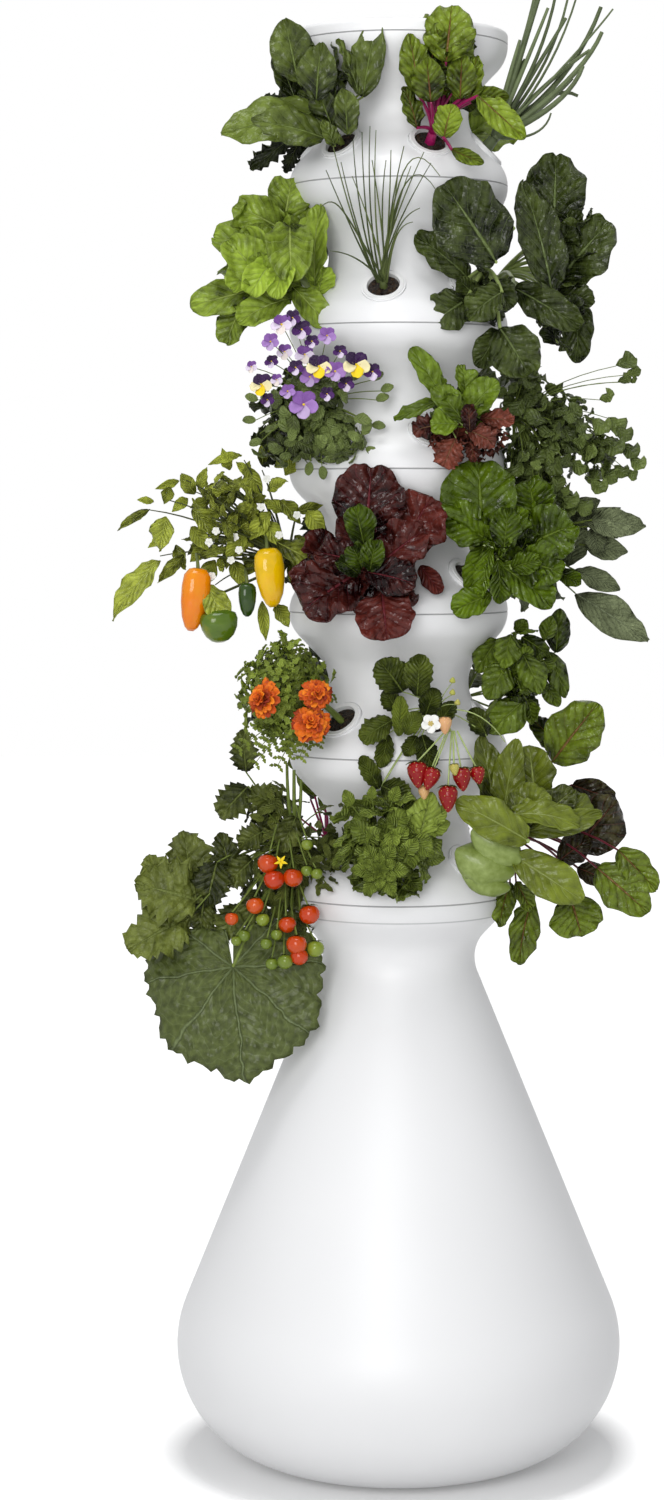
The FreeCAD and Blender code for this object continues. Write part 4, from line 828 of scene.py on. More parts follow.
class Plant:
    """One plant: its leaf sheets, stalks and small leaves, gathered and then finished."""

    def __init__(self, tier, number, name, crown=(0.014, 0.0, 0.016), stem=0.005):
        self.port = Port(tier, number)
        self.name = "tier_%d_%s_%d" % (tier, name, number)
        self.crown = self.port.place(*crown)
        self.sheets = Sheets()
        self.stalks = Paths()
        foot = self.port.foot - self.port.axis * 0.006
        self.stalks.add([foot, self.port.mouth, self.crown], stem, stem * 0.8, 0.6)
        self.dice = random.Random(self.name)

    def stalk_to(self, place, thick, shade=0.5):
        """A stalk from the crown, up along the port's axis and out to a place."""
        away = (place - self.crown).length
        knee = self.crown + (self.port.axis * 0.6 + UP * 0.4) * (away * 0.35)
        self.stalks.add([self.crown, knee.lerp(place, 0.25), place], thick, thick * 0.7, shade)

    def photo_leaves(self, form, rows, stalk=0.0016, stalk_shade=0.5, sheets=None):
        """Leaves by their pixels: heel, tip and width, then depth, slant, roll, arch and shade, which
        holds the leaf's own tone together with painted light and shade for where it lies.
        """
        for heel_x, heel_y, tip_x, tip_y, wide, depth, slant, roll, arch, shade in rows:
            near = depth / 1000.0
            lean = slant / 2000.0
            heel = at(heel_x, heel_y, near - lean)
            tip = at(tip_x, tip_y, near + lean)
            ahead = (tip - heel).normalized()
            face = Matrix.Rotation(math.radians(roll), 3, ahead) @ TOWARDS_CAMERA
            (sheets or self.sheets).leaf(form, heel, tip, pixel_length(wide, near) / 2, face, arch,
                                         twist=self.dice.uniform(-12, 12), shade=shade,
                                         phase=self.dice.uniform(0, 6))
            if stalk:
                self.stalk_to(heel, stalk, stalk_shade)

    def ring_leaves(self, form, axis, rings):
        """Rings of leaves round an axis: count, first turn, rise, stalk, length and width."""
        upward = (self.port.out * axis[0] + self.port.side * axis[1] + UP * axis[2]).normalized()
        outward = (self.port.out - upward * upward.dot(self.port.out)).normalized()
        side = upward.cross(outward)
        for count, first, rise, bare, length, wide in rings:
            for step in range(count):
                turn = math.radians(first + 360.0 * step / count + self.dice.uniform(-8, 8))
                tilt = math.radians(rise + self.dice.uniform(-6, 6))
                flat = outward * math.cos(turn) + side * math.sin(turn)
                along = flat * math.cos(tilt) + upward * math.sin(tilt)
                over = upward * math.cos(tilt) - flat * math.sin(tilt)
                grow = self.dice.uniform(0.85, 1.0)
                heel = self.crown + along * (bare / 1000.0 * grow)
                tip = heel + along * (length / 1000.0 * grow)
                self.sheets.leaf(form, heel, tip, wide / 2000.0 * grow, over, 0.12,
                                 twist=self.dice.uniform(-15, 15),
                                 shade=0.5 + self.dice.uniform(-0.25, 0.25),
                                 phase=self.dice.uniform(0, 6))
                if bare > 6:
                    self.stalks.add([self.crown, heel.lerp(self.crown, 0.5), heel], 0.0018, 0.00144)

    def egg(self, middle, reach, count, core):
        """Places all through an egg's outer layer, each with the way out of it."""
        out, side = self.port.out, self.port.side
        for step in range(count):
            high = 1 - 2 * (step + 0.5) / count
            turn = step * GOLDEN_TURN
            flat = math.sqrt(1 - high * high)
            way = out * (math.cos(turn) * flat) + side * (math.sin(turn) * flat) + UP * high
            far = self.dice.uniform(core, 1.0) * (1.2 if step % 4 == 0 else 1.0)
            yield step, way, far, middle + out * (way.dot(out) * reach[0] * far) \
                + side * (way.dot(side) * reach[1] * far) + UP * (way.z * reach[2] * far)

    def bush(self, spots, middle, reach, count, size, twigs=10, droop=0.2, shade=0.5, core=0.5,
             lay=0.75):
        """Small leaves over an egg of foliage, lying on it like tiles and painted darker the deeper they
        lie, with twigs to some.
        """
        for step, way, far, place in self.egg(middle, reach, count, core):
            swirl = Vector([self.dice.uniform(-1, 1) for _ in range(3)])
            flat = (swirl - way * swirl.dot(way)).normalized()
            ahead = way * (1 - lay) + flat * lay - UP * droop
            # Painted shade: leaves deeper inside the egg are darker, those that stand out lighter.
            deep = 0.28 * (far - 0.8)
            spots.add(place - ahead.normalized() * size * 0.5, ahead,
                      way + swirl * 0.35 + TOWARDS_CAMERA * 0.2,
                      size * self.dice.uniform(0.7, 1.15),
                      shade + deep + self.dice.uniform(-0.3, 0.3))
            if step % max(count // twigs, 1) == 0:
                self.stalk_to(place, 0.0012, 0.4)

    def head(self, form, middle, reach, count, length, wide, shade=0.3, lift=0.35, sheets=None):
        """Whole leaves round the heart of a plant, behind the ones placed one by one."""
        for step, way, _, place in self.egg(middle, reach, count, 0.55):
            swirl = Vector([self.dice.uniform(-1, 1) for _ in range(3)])
            flat = (swirl + UP * 0.6 - way * way.z).normalized()
            ahead = (way * 0.5 + flat * 0.5 + UP * lift).normalized()
            grow = self.dice.uniform(0.75, 1.1)
            (sheets or self.sheets).leaf(
                form, place - ahead * (length * 0.5 * grow), place + ahead * (length * 0.5 * grow),
                wide / 2 * grow, way + swirl * 0.3, 0.16, self.dice.uniform(-20, 20),
                shade + self.dice.uniform(-0.3, 0.3), self.dice.uniform(0, 6))
            if step % 3 == 0:
                self.stalk_to(place - ahead * (length * 0.4), 0.0022, 0.4)

    def keep(self, gathered, ending, *looks):
        """Makes one of the plant's pieces and puts it in the scene, for its tier's plants."""
        tier = "tier_%d" % self.port.tier
        finish_piece(gathered.piece(self.name + ending, *looks), tier, tier + "_plants")

    def done(self, leaf_material, stalk_material, sides=6):
        """Makes the pieces of the gathered leaves and stalks."""
        if self.sheets.points:
            self.keep(self.sheets, "_leaves", leaf_material)
        self.keep(self.stalks, "_stalks", stalk_material, sides)


# Finishes of the plants

# Each leaf: its deep, fresh and ribs' colours, how rough it is, how many side ribs it has and how
# clear they are, how strong its blisters and, for some, how many there are to a metre.
SPINACH_LEAF = leaf_finish(
    "spinach_leaf", (0.014, 0.022, 0.002), (0.13, 0.175, 0.028), (0.18, 0.24, 0.06),
    0.28, 5, 0.30, 0.8, 60)
CHARD_LEAF = leaf_finish(
    "chard_leaf", (0.026, 0.042, 0.002), (0.19, 0.265, 0.020), (0.26, 0.11, 0.05),
    0.24, 6, 0.15, 1.0, 75)
CHARD_STALK = plain_finish("chard_stalk", (0.12, 0.003, 0.03), (0.42, 0.012, 0.13), 0.3, coat=0.2)
ONION_BLADE = plain_finish("onion_blade", (0.035, 0.047, 0.020), (0.19, 0.24, 0.115), 0.4, 60.0)
KALE_LEAF = leaf_finish(
    "kale_leaf", (0.006, 0.010, 0.002), (0.045, 0.060, 0.012), (0.08, 0.1, 0.03), 0.45, 7, 0.3, 0.8)
PALE_LETTUCE = leaf_finish(
    "pale_lettuce_leaf", (0.045, 0.070, 0.003), (0.31, 0.43, 0.045), (0.42, 0.52, 0.13),
    0.32, 6, 0.35, 0.8, 55)
GREEN_STALK = plain_finish("green_stalk", (0.06, 0.085, 0.008), (0.24, 0.31, 0.07), 0.4)
PALE_STALK = plain_finish("pale_stalk", (0.17, 0.23, 0.04), (0.44, 0.54, 0.20), 0.3, coat=0.2)
CHIVE_BLADE = plain_finish("chive_blade", (0.030, 0.042, 0.012), (0.13, 0.165, 0.05), 0.35, 60.0)
TATSOI_LEAF = leaf_finish(
    "tatsoi_leaf", (0.010, 0.017, 0.002), (0.085, 0.115, 0.022), (0.20, 0.26, 0.09),
    0.20, 7, 0.30, 1.0, 80)
SMALL_LETTUCE = leaf_finish(
    "small_lettuce_leaf", (0.030, 0.050, 0.001), (0.125, 0.19, 0.012), (0.20, 0.28, 0.05),
    0.3, 5, 0.35, 0.8)
RED_FRILL = leaf_finish(
    "red_frill_leaf", (0.030, 0.002, 0.003), (0.20, 0.050, 0.030), (0.25, 0.14, 0.07),
    0.3, 5, 0.25, 0.9)
CORIANDER_LEAF = leaf_finish(
    "coriander_leaf", (0.018, 0.028, 0.003), (0.135, 0.18, 0.042), (0.17, 0.22, 0.07),
    0.4, 5, 0.25, 0.6)
VIOLA_LEAF = leaf_finish(
    "viola_leaf", (0.020, 0.028, 0.003), (0.18, 0.235, 0.065), (0.2, 0.25, 0.08), 0.4, 5, 0.25, 0.6)
PEPPER_LEAF = leaf_finish(
    "pepper_leaf", (0.070, 0.085, 0.004), (0.42, 0.48, 0.060), (0.42, 0.48, 0.10), 0.28, 7, 0.40, 0.8)
RED_LETTUCE = leaf_finish(
    "red_lettuce_leaf", (0.010, 0.0008, 0.0008), (0.115, 0.020, 0.014), (0.19, 0.03, 0.04),
    0.16, 6, 0.30, 1.0, 60)
ROMAINE_LEAF = leaf_finish(
    "romaine_leaf", (0.012, 0.024, 0.0008), (0.115, 0.185, 0.007), (0.20, 0.28, 0.04),
    0.18, 7, 0.28, 1.0, 60)
SAGE_LEAF = leaf_finish(
    "sage_leaf", (0.050, 0.063, 0.022), (0.20, 0.235, 0.12), (0.24, 0.28, 0.16),
    0.7, 9, 0.30, 0.9, 220)
MARIGOLD_LEAF = leaf_finish(
    "marigold_leaf", (0.035, 0.046, 0.002), (0.20, 0.26, 0.035), (0.2, 0.28, 0.05), 0.45, 5, 0.2, 0.4)
STRAWBERRY_LEAF = leaf_finish(
    "strawberry_leaf", (0.020, 0.032, 0.001), (0.135, 0.175, 0.020), (0.19, 0.24, 0.05),
    0.34, 9, 0.35, 0.9)
BASIL_LEAF = leaf_finish(
    "basil_leaf", (0.025, 0.042, 0.001), (0.155, 0.225, 0.020), (0.19, 0.26, 0.04),
    0.24, 5, 0.30, 1.0, 80)
TOMATO_LEAF = leaf_finish(
    "tomato_leaf", (0.026, 0.036, 0.003), (0.155, 0.185, 0.035), (0.19, 0.23, 0.06),
    0.42, 6, 0.3, 0.8)
MINT_LEAF = leaf_finish(
    "mint_leaf", (0.040, 0.062, 0.002), (0.22, 0.29, 0.045), (0.27, 0.34, 0.08), 0.36, 7, 0.40, 1.0)
BOK_CHOY_LEAF = leaf_finish(
    "bok_choy_leaf", (0.036, 0.048, 0.001), (0.155, 0.195, 0.016), (0.26, 0.31, 0.08),
    0.24, 6, 0.35, 0.5, 45)
BEET_LEAF = leaf_finish(
    "beet_leaf", (0.022, 0.018, 0.003), (0.15, 0.135, 0.035), (0.17, 0.06, 0.04),
    0.26, 6, 0.35, 0.9, 65)
RED_STALK = plain_finish("red_stalk", (0.07, 0.006, 0.012), (0.25, 0.025, 0.05), 0.35)

# The kinds of leaf

SPINACH_FORM = LeafForm(0.86, 0.62, wave=0.06, cup=0.18, quilt=0.05, veins=5)
CHARD_FORM = LeafForm(0.95, 0.50, wave=0.16, waves=3.5, cup=0.10, quilt=0.14, veins=6, along=22,
                      across=10)
KALE_FORM = LeafForm(1.1, 0.5, teeth=9, tooth=0.45, wave=0.4, waves=4, cup=0.1)
LETTUCE_FORM = LeafForm(1.25, 0.45, wave=0.22, waves=2.5, cup=0.35, quilt=0.07, veins=6, along=20,
                        across=10)
HEART_FORM = LeafForm(1.1, 0.40, wave=0.12, waves=2, cup=0.65, quilt=0.06, veins=5, along=16,
                      across=10)
TATSOI_FORM = LeafForm(0.92, 0.42, wave=0.12, waves=2.5, cup=0.16, quilt=0.15, veins=7, along=26,
                       across=12)
FRILL_FORM = LeafForm(1.3, 0.42, teeth=7, tooth=0.2, wave=0.5, waves=4, cup=0.2, quilt=0.1)
ROMAINE_FORM = LeafForm(1.1, 0.42, wave=0.16, waves=3, cup=0.28, quilt=0.18, veins=7, along=26,
                        across=12)
RED_FORM = LeafForm(1.15, 0.42, wave=0.20, waves=3, cup=0.25, quilt=0.16, veins=6, along=24,
                    across=12)
SAGE_FORM = LeafForm(0.95, 0.75, wave=0.06, cup=0.12, quilt=0.05, veins=8)
LONG_FORM = LeafForm(0.80, 0.95, wave=0.08, waves=2, cup=0.2, quilt=0.06, veins=7, tip=0.03)
BERRY_FORM = LeafForm(1.1, 0.45, teeth=9, tooth=0.14, wave=0.05, cup=0.2, quilt=0.10, veins=8,
                      along=18)
BASIL_FORM = LeafForm(0.85, 0.55, wave=0.05, cup=-0.35, quilt=0.10, veins=5, along=18, across=10,
                      tip=0.04)
MINT_FORM = LeafForm(0.85, 0.70, teeth=6, tooth=0.10, wave=0.06, cup=0.15, quilt=0.10, veins=6,
                     along=12, across=6, tip=0.04)
BOK_FORM = LeafForm(0.95, 0.50, wave=0.10, waves=2, cup=0.22, quilt=0.05, veins=6, along=20,
                    across=10)


def spinach():
    plant = Plant(1, 4, "spinach")
    plant.photo_leaves(SPINACH_FORM, [
        (298, 82, 284, 19, 46, 135, -10, 8, 0.1, 0.50),
        (316, 100, 321, 43, 40, 165, 0, 0, 0.14, 0.38),
        (359, 95, 337, 39, 26, 150, 0, 45, 0.08, 0.35),
        (363, 97, 377, 21, 36, 140, -10, -12, 0.1, 0.42),
        (297, 106, 272, 47, 28, 105, -10, 25, 0.1, 0.15),
        (314, 112, 221, 134, 48, 130, 30, -8, 0.1, 0.95),
        (324, 138, 251, 120, 40, 165, 30, 8, 0.14, 0.55),
        (347, 134, 343, 88, 28, 165, 0, 20, 0.12, 0.45),
        (332, 126, 316, 82, 30, 150, 0, -30, 0.1, 0.25),
        (335, 146, 322, 120, 18, 160, 10, 20, 0.1, 0.6)], stalk=0.0019, stalk_shade=0.45)
    plant.head(SPINACH_FORM, at(322, 86, 0.115), (0.026, 0.034, 0.050), 18, 0.056, 0.034, 0.15)
    for step in range(9):
        side = -0.020 + 0.005 * step
        plant.stalk_to(plant.port.place(0.03, side, 0.045 + 0.012 * (step % 3)), 0.0017, 0.55)
    plant.done(SPINACH_LEAF, GREEN_STALK)


def chard():
    plant = Plant(1, 5, "chard", crown=(0.010, 0.0, 0.012), stem=0.008)
    plant.photo_leaves(CHARD_FORM, [
        (446, 62, 452, 5, 52, 140, -10, 0, 0.1, 0.70),
        (418, 94, 409, 34, 32, 150, 0, 18, 0.1, 0.55),
        (431, 102, 427, 59, 34, 162, 0, -10, 0.12, 0.35),
        (471, 102, 477, 55, 26, 140, 0, -28, 0.1, 0.60),
        (460, 99, 462, 54, 30, 150, 0, 0, 0.1, 0.45),
        (444, 138, 453, 104, 30, 172, 0, -15, 0.18, 0.95),
        (417, 128, 404, 86, 24, 150, 0, 25, 0.1, 0.30),
        (468, 97, 509, 97, 22, 140, 10, 20, 0.1, 0.30),
        (478, 96, 525, 139, 28, 172, 20, 10, 0.1, 0.95),
        (452, 150, 484, 163, 15, 165, 15, 30, 0.1, 0.65)], stalk=0.0030, stalk_shade=0.5)
    plant.head(CHARD_FORM, at(443, 62, 0.120), (0.022, 0.038, 0.060), 20, 0.054, 0.036, 0.35)
    plant.done(CHARD_LEAF, CHARD_STALK)


def spring_onion():
    plant = Plant(1, 0, "spring_onion", crown=(0.012, 0.0, 0.016), stem=0.009)
    for knee_x, knee_y, bend_x, bend_y, tip_x, tip_y, wide, near, shade in [
            (500, 112, 524, 60, 541, -30, 10, 10, 0.45), (505, 105, 520, 60, 549, -36, 9, 30, 0.35),
            (508, 110, 548, 60, 560, -30, 6, 20, 0.4), (510, 115, 560, 62, 571, -20, 5, 0, 0.5),
            (515, 118, 560, 70, 584, -30, 4, 25, 0.4), (518, 122, 575, 80, 601, 7, 9, 10, 0.4),
            (515, 120, 590, 40, 613, 9, 4, 30, 0.55), (520, 125, 585, 75, 602, 32, 9, 30, 0.6),
            (515, 130, 570, 105, 583, 66, 9, 45, 0.5), (510, 140, 545, 140, 551, 113, 4, 45, 0.4),
            (506, 112, 510, 80, 526, 60, 12, 20, 0.35), (512, 130, 552, 100, 572, 78, 10, 0, 0.3)]:
        root = plant.port.place(0.014, plant.dice.uniform(-0.006, 0.006), 0.018)
        places = [root, at(knee_x, knee_y, near / 1000.0), at(bend_x, bend_y, near / 1000.0),
                  at(tip_x, tip_y, near / 1000.0)]
        thick = pixel_length(wide, 0.03) / 2
        plant.stalks.add(places, thick * 0.9, thick * 0.45, shade, 8)
    for knee_x, bend_x, tip_x, tip_y in [(496, 508, 520, 40), (500, 530, 566, 18), (508, 545, 590, 50),
                                         (498, 520, 548, 8), (512, 552, 578, 96)]:
        near = plant.dice.uniform(0.0, 0.04)
        root = plant.port.place(0.014, plant.dice.uniform(-0.006, 0.006), 0.014)
        plant.stalks.add([root, at(knee_x, 124, near), at(bend_x, 80, near), at(tip_x, tip_y, near)],
                         0.0050, 0.0022, plant.dice.uniform(0.2, 0.8), 8)
    plant.done(ONION_BLADE, ONION_BLADE, 8)


def dark_kale(tier, number, leaves):
    plant = Plant(tier, number, "kale", crown=(0.020, 0.0, 0.024))
    if leaves:
        plant.photo_leaves(KALE_FORM, leaves)
    plant.ring_leaves(KALE_FORM, (0.8, 0, 0.7), [(5, 10, 18, 18, 60, 44), (3, 40, 55, 18, 54, 40)])
    plant.done(KALE_LEAF, GREEN_STALK)


def butterhead():
    plant = Plant(2, 3, "butterhead", crown=(0.030, 0.0, 0.030), stem=0.010)
    plant.photo_leaves(LETTUCE_FORM, [
        (284, 222, 291, 178, 44, 55, -20, 10, 0.2, 0.50),
        (290, 234, 235, 205, 40, 75, 0, -10, 0.25, 0.45),
        (315, 286, 320, 205, 34, 85, 0, -25, 0.15, 0.65),
        (318, 294, 324, 266, 26, 75, 0, 10, 0.2, 0.90),
        (262, 288, 190, 306, 36, 85, 10, -15, 0.18, 0.45),
        (243, 306, 226, 344, 32, 80, 0, 10, 0.22, 0.35),
        (292, 298, 238, 322, 36, 105, 10, 10, 0.22, 0.55),
        (292, 286, 330, 328, 30, 95, 10, 0, 0.15, 0.50),
        (268, 250, 214, 238, 40, 60, 0, 0, 0.25, 0.40),
        (300, 240, 312, 200, 36, 60, 0, 0, 0.2, 0.55)], stalk=0)
    plant.photo_leaves(HEART_FORM, [
        (262, 282, 228, 240, 42, 118, 10, 0, 0.30, 0.60),
        (272, 280, 246, 232, 40, 110, 0, -10, 0.25, 0.50),
        (290, 226, 291, 281, 46, 130, 25, 0, 0.30, 0.45),
        (272, 262, 250, 296, 30, 128, 10, 0, 0.30, 1.00),
        (288, 262, 274, 298, 26, 134, 10, 0, 0.30, 0.95),
        (256, 268, 232, 290, 30, 110, 10, 0, 0.3, 0.70)], stalk=0)
    plant.head(LETTUCE_FORM, at(263, 262, 0.072), (0.040, 0.052, 0.056), 18, 0.062, 0.056, 0.25)
    plant.done(PALE_LETTUCE, PALE_STALK)


def chives():
    plant = Plant(2, 4, "chives", crown=(0.004, 0.0, 0.008), stem=0.006)
    blades = [
        (352, 230, 326, 170), (350, 222, 333, 146), (354, 224, 341, 162), (356, 215, 353, 140),
        (362, 210, 362, 132), (366, 205, 370, 126), (372, 210, 376, 130), (388, 215, 404, 146),
        (392, 205, 391, 150), (396, 205, 411, 166), (398, 215, 431, 163), (398, 205, 424, 152),
        (380, 200, 386, 160), (395, 220, 398, 172), (384, 215, 372, 160), (372, 215, 352, 176)]
    arcs = [((345, 215), (338, 190), (321, 207)), ((366, 262), (350, 252), (330, 251)),
            ((392, 240), (398, 224), (413, 222)), ((392, 232), (402, 215), (420, 208)),
            ((395, 200), (402, 120), (440, 176)), ((392, 190), (412, 150), (436, 190))]
    for knee_x, knee_y, tip_x, tip_y in blades:
        near = plant.dice.uniform(0.140, 0.165)
        root = plant.port.place(0.006, plant.dice.uniform(-0.007, 0.007), 0.006)
        bow = (tip_x - 370) * 0.12
        plant.stalks.add([root, at(knee_x - bow, knee_y + 14, near), at(tip_x, tip_y, near + 0.022)],
                         0.0016, 0.0006, plant.dice.uniform(0.2, 0.9), 9)
    for knee, bend, tip in arcs:
        near = plant.dice.uniform(0.165, 0.180)
        root = plant.port.place(0.006, plant.dice.uniform(-0.006, 0.006), 0.006)
        plant.stalks.add([root, at(*knee, near), at(*bend, near), at(*tip, near)],
                         0.0015, 0.0006, plant.dice.uniform(0.2, 0.9), 8)
    plant.done(CHIVE_BLADE, CHIVE_BLADE)


def front_tatsoi():
    plant = Plant(2, 5, "tatsoi", crown=(0.028, 0.0, 0.024), stem=0.008)
    plant.photo_leaves(TATSOI_FORM, [
        (496, 262, 444, 184, 76, 140, 0, 0, 0.14, 0.30),
        (468, 278, 416, 235, 36, 110, 0, 8, 0.12, 0.45),
        (466, 300, 434, 322, 44, 130, 0, 0, 0.18, 0.50),
        (502, 292, 468, 318, 38, 140, 0, 10, 0.18, 0.55),
        (500, 328, 529, 375, 50, 125, 0, 0, 0.16, 0.50),
        (500, 330, 477, 367, 28, 115, 0, -10, 0.15, 0.40),
        (490, 282, 512, 308, 30, 110, 0, 0, 0.2, 0.3)], stalk=0.0035)
    plant.head(TATSOI_FORM, at(480, 298, 0.100), (0.020, 0.050, 0.030), 12, 0.046, 0.040, 0.35)
    plant.stalks.add([plant.crown, at(492, 250, 0.10), at(514, 227, 0.09)], 0.0042, 0.0030, 0.9)
    plant.done(TATSOI_LEAF, PALE_STALK)


def side_tatsoi():
    plant = Plant(2, 0, "tatsoi", crown=(0.028, 0.0, 0.024), stem=0.008)
    plant.photo_leaves(TATSOI_FORM, [
        (553, 232, 556, 156, 62, 20, 0, 0, 0.2, 0.30),
        (552, 292, 523, 182, 48, 60, 0, 12, 0.14, 0.35),
        (560, 280, 609, 222, 62, 30, 0, 0, 0.22, 0.40),
        (515, 288, 581, 327, 36, 60, 0, 8, 0.1, 0.50),
        (576, 296, 578, 363, 32, 25, 0, 0, 0.15, 0.30),
        (556, 296, 594, 300, 30, 30, 0, 0, 0.2, 0.35),
        (546, 260, 584, 238, 36, 0, 0, 0, 0.2, 0.25)], stalk=0.0035)
    plant.head(TATSOI_FORM, at(562, 242, 0.012), (0.026, 0.040, 0.062), 16, 0.058, 0.050, 0.3)
    plant.head(TATSOI_FORM, at(562, 318, 0.02), (0.020, 0.034, 0.034), 8, 0.046, 0.036, 0.3)
    plant.done(TATSOI_LEAF, PALE_STALK)


def small_lettuce():
    plant = Plant(3, 5, "small_lettuce", crown=(0.020, 0.0, 0.022))
    plant.photo_leaves(LETTUCE_FORM, [
        (446, 404, 411, 348, 25, 150, 0, 10, 0.12, 0.70),
        (464, 418, 497, 380, 32, 160, 0, 0, 0.14, 0.75),
        (463, 421, 434, 386, 26, 168, 0, 0, 0.18, 0.55),
        (442, 400, 394, 420, 16, 160, 0, 10, 0.1, 0.55),
        (476, 412, 474, 384, 22, 145, 0, 0, 0.2, 0.5),
        (458, 424, 430, 424, 28, 172, 0, 0, 0.20, 1.00)], stalk=0.0014)
    red = Sheets()
    plant.photo_leaves(FRILL_FORM, [
        (442, 424, 412, 431, 26, 165, 0, 0, 0.15, 0.15),
        (456, 438, 443, 467, 32, 172, 0, 0, 0.2, 0.80),
        (468, 430, 496, 444, 26, 172, 0, 0, 0.18, 0.60),
        (480, 418, 514, 421, 22, 150, 0, 0, 0.15, 0.75),
        (470, 432, 468, 404, 18, 176, 0, 0, 0.2, 0.05),
        (470, 436, 474, 462, 16, 160, 0, 0, 0.1, 0.3)], stalk=0.0012, sheets=red)
    plant.head(FRILL_FORM, at(466, 438, 0.140), (0.020, 0.052, 0.024), 20, 0.034, 0.028, 0.45,
               sheets=red)
    plant.head(LETTUCE_FORM, at(462, 404, 0.140), (0.020, 0.040, 0.034), 14, 0.044, 0.030, 0.5)
    plant.keep(red, "_red_leaves", RED_FRILL)
    plant.done(SMALL_LETTUCE, PALE_STALK)


def red_lettuce():
    plant = Plant(4, 4, "red_lettuce", crown=(0.028, -0.008, 0.018), stem=0.010)
    plant.photo_leaves(RED_FORM, [
        (366, 540, 371, 468, 72, 160, -20, 0, 0.16, 0.25),
        (398, 560, 432, 496, 62, 150, -10, -10, 0.18, 0.75),
        (376, 568, 424, 530, 50, 180, 0, 0, 0.2, 0.45),
        (358, 564, 317, 552, 44, 185, 0, 10, 0.22, 0.20),
        (367, 572, 416, 584, 38, 200, 10, 0, 0.2, 0.10),
        (360, 572, 302, 610, 62, 170, 10, 0, 0.18, 0.30),
        (360, 566, 292, 586, 44, 160, 0, 0, 0.2, 0.25),
        (382, 592, 387, 640, 60, 175, 10, 0, 0.14, 0.85),
        (420, 566, 441, 593, 20, 150, 0, 10, 0.1, 0.60),
        (362, 556, 348, 512, 40, 175, 0, 0, 0.22, 0.15)], stalk=0)
    heart = Sheets()
    plant.photo_leaves(HEART_FORM, [
        (364, 545, 355, 506, 30, 190, 0, 0, 0.2, 0.30),
        (362, 568, 352, 546, 24, 205, 0, 0, 0.3, 0.25),
        (370, 570, 376, 540, 24, 205, 0, 0, 0.3, 0.30),
        (358, 574, 338, 560, 20, 200, 0, 0, 0.3, 0.10)], stalk=0, sheets=heart)
    plant.head(RED_FORM, at(366, 566, 0.140), (0.030, 0.066, 0.052), 22, 0.062, 0.058, 0.3)
    plant.keep(heart, "_heart", ROMAINE_LEAF)
    plant.done(RED_LETTUCE, PALE_STALK)


def romaine():
    plant = Plant(4, 5, "romaine", crown=(0.028, 0.008, 0.020), stem=0.010)
    plant.photo_leaves(ROMAINE_FORM, [
        (482, 536, 478, 460, 76, 130, -10, 0, 0.18, 0.50),
        (535, 516, 529, 481, 46, 110, -10, 0, 0.22, 0.45),
        (486, 540, 444, 512, 44, 140, 0, 0, 0.2, 0.55),
        (528, 545, 574, 525, 56, 130, 0, 0, 0.22, 0.45),
        (504, 548, 508, 508, 32, 160, 0, 0, 0.2, 0.30),
        (520, 562, 562, 572, 48, 160, 10, 0, 0.22, 0.45),
        (502, 566, 553, 606, 36, 160, 10, 0, 0.16, 0.65),
        (484, 546, 470, 592, 26, 140, 0, 20, 0.1, 0.60),
        (492, 548, 480, 600, 22, 150, 0, 30, 0.1, 0.70),
        (498, 560, 500, 604, 22, 155, 0, -20, 0.1, 0.50),
        (491, 594, 453, 611, 31, 150, 0, 0, 0.12, 0.75),
        (556, 572, 581, 583, 18, 130, 0, 0, 0.12, 0.45),
        (512, 568, 540, 560, 24, 168, 0, 0, 0.2, 0.5)], stalk=0.003)
    plant.head(ROMAINE_FORM, at(514, 545, 0.110), (0.030, 0.056, 0.060), 26, 0.056, 0.044, 0.35)
    plant.done(ROMAINE_LEAF, PALE_STALK)


def sage():
    plant = Plant(4, 0, "sage", crown=(0.030, 0.0, 0.018))
    plant.photo_leaves(SAGE_FORM, [
        (572, 526, 621, 508, 17, 10, 0, 20, 0.15, 0.55),
        (584, 522, 646, 526, 30, 30, 0, 0, 0.12, 0.60),
        (594, 526, 598, 555, 22, 30, 0, 0, 0.15, 0.35),
        (568, 566, 581, 518, 30, 0, 0, 0, 0.1, 0.50),
        (575, 593, 648, 641, 38, 30, 10, 0, 0.1, 0.60),
        (548, 560, 582, 540, 26, -10, 0, 0, 0.1, 0.4), (585, 545, 628, 552, 24, 10, 0, 20, 0.1, 0.7),
        (592, 520, 618, 538, 20, 40, 0, -20, 0.1, 0.8), (560, 520, 600, 500, 24, 0, 0, 10, 0.1, 0.5),
        (575, 570, 620, 590, 22, 20, 0, 0, 0.1, 0.6)], stalk=0.0014)
    plant.ring_leaves(SAGE_FORM, (1, 0, 0.6), [(4, 120, 8, 46, 80, 36), (2, 200, 46, 46, 70, 34)])
    plant.done(SAGE_LEAF, GREEN_STALK)


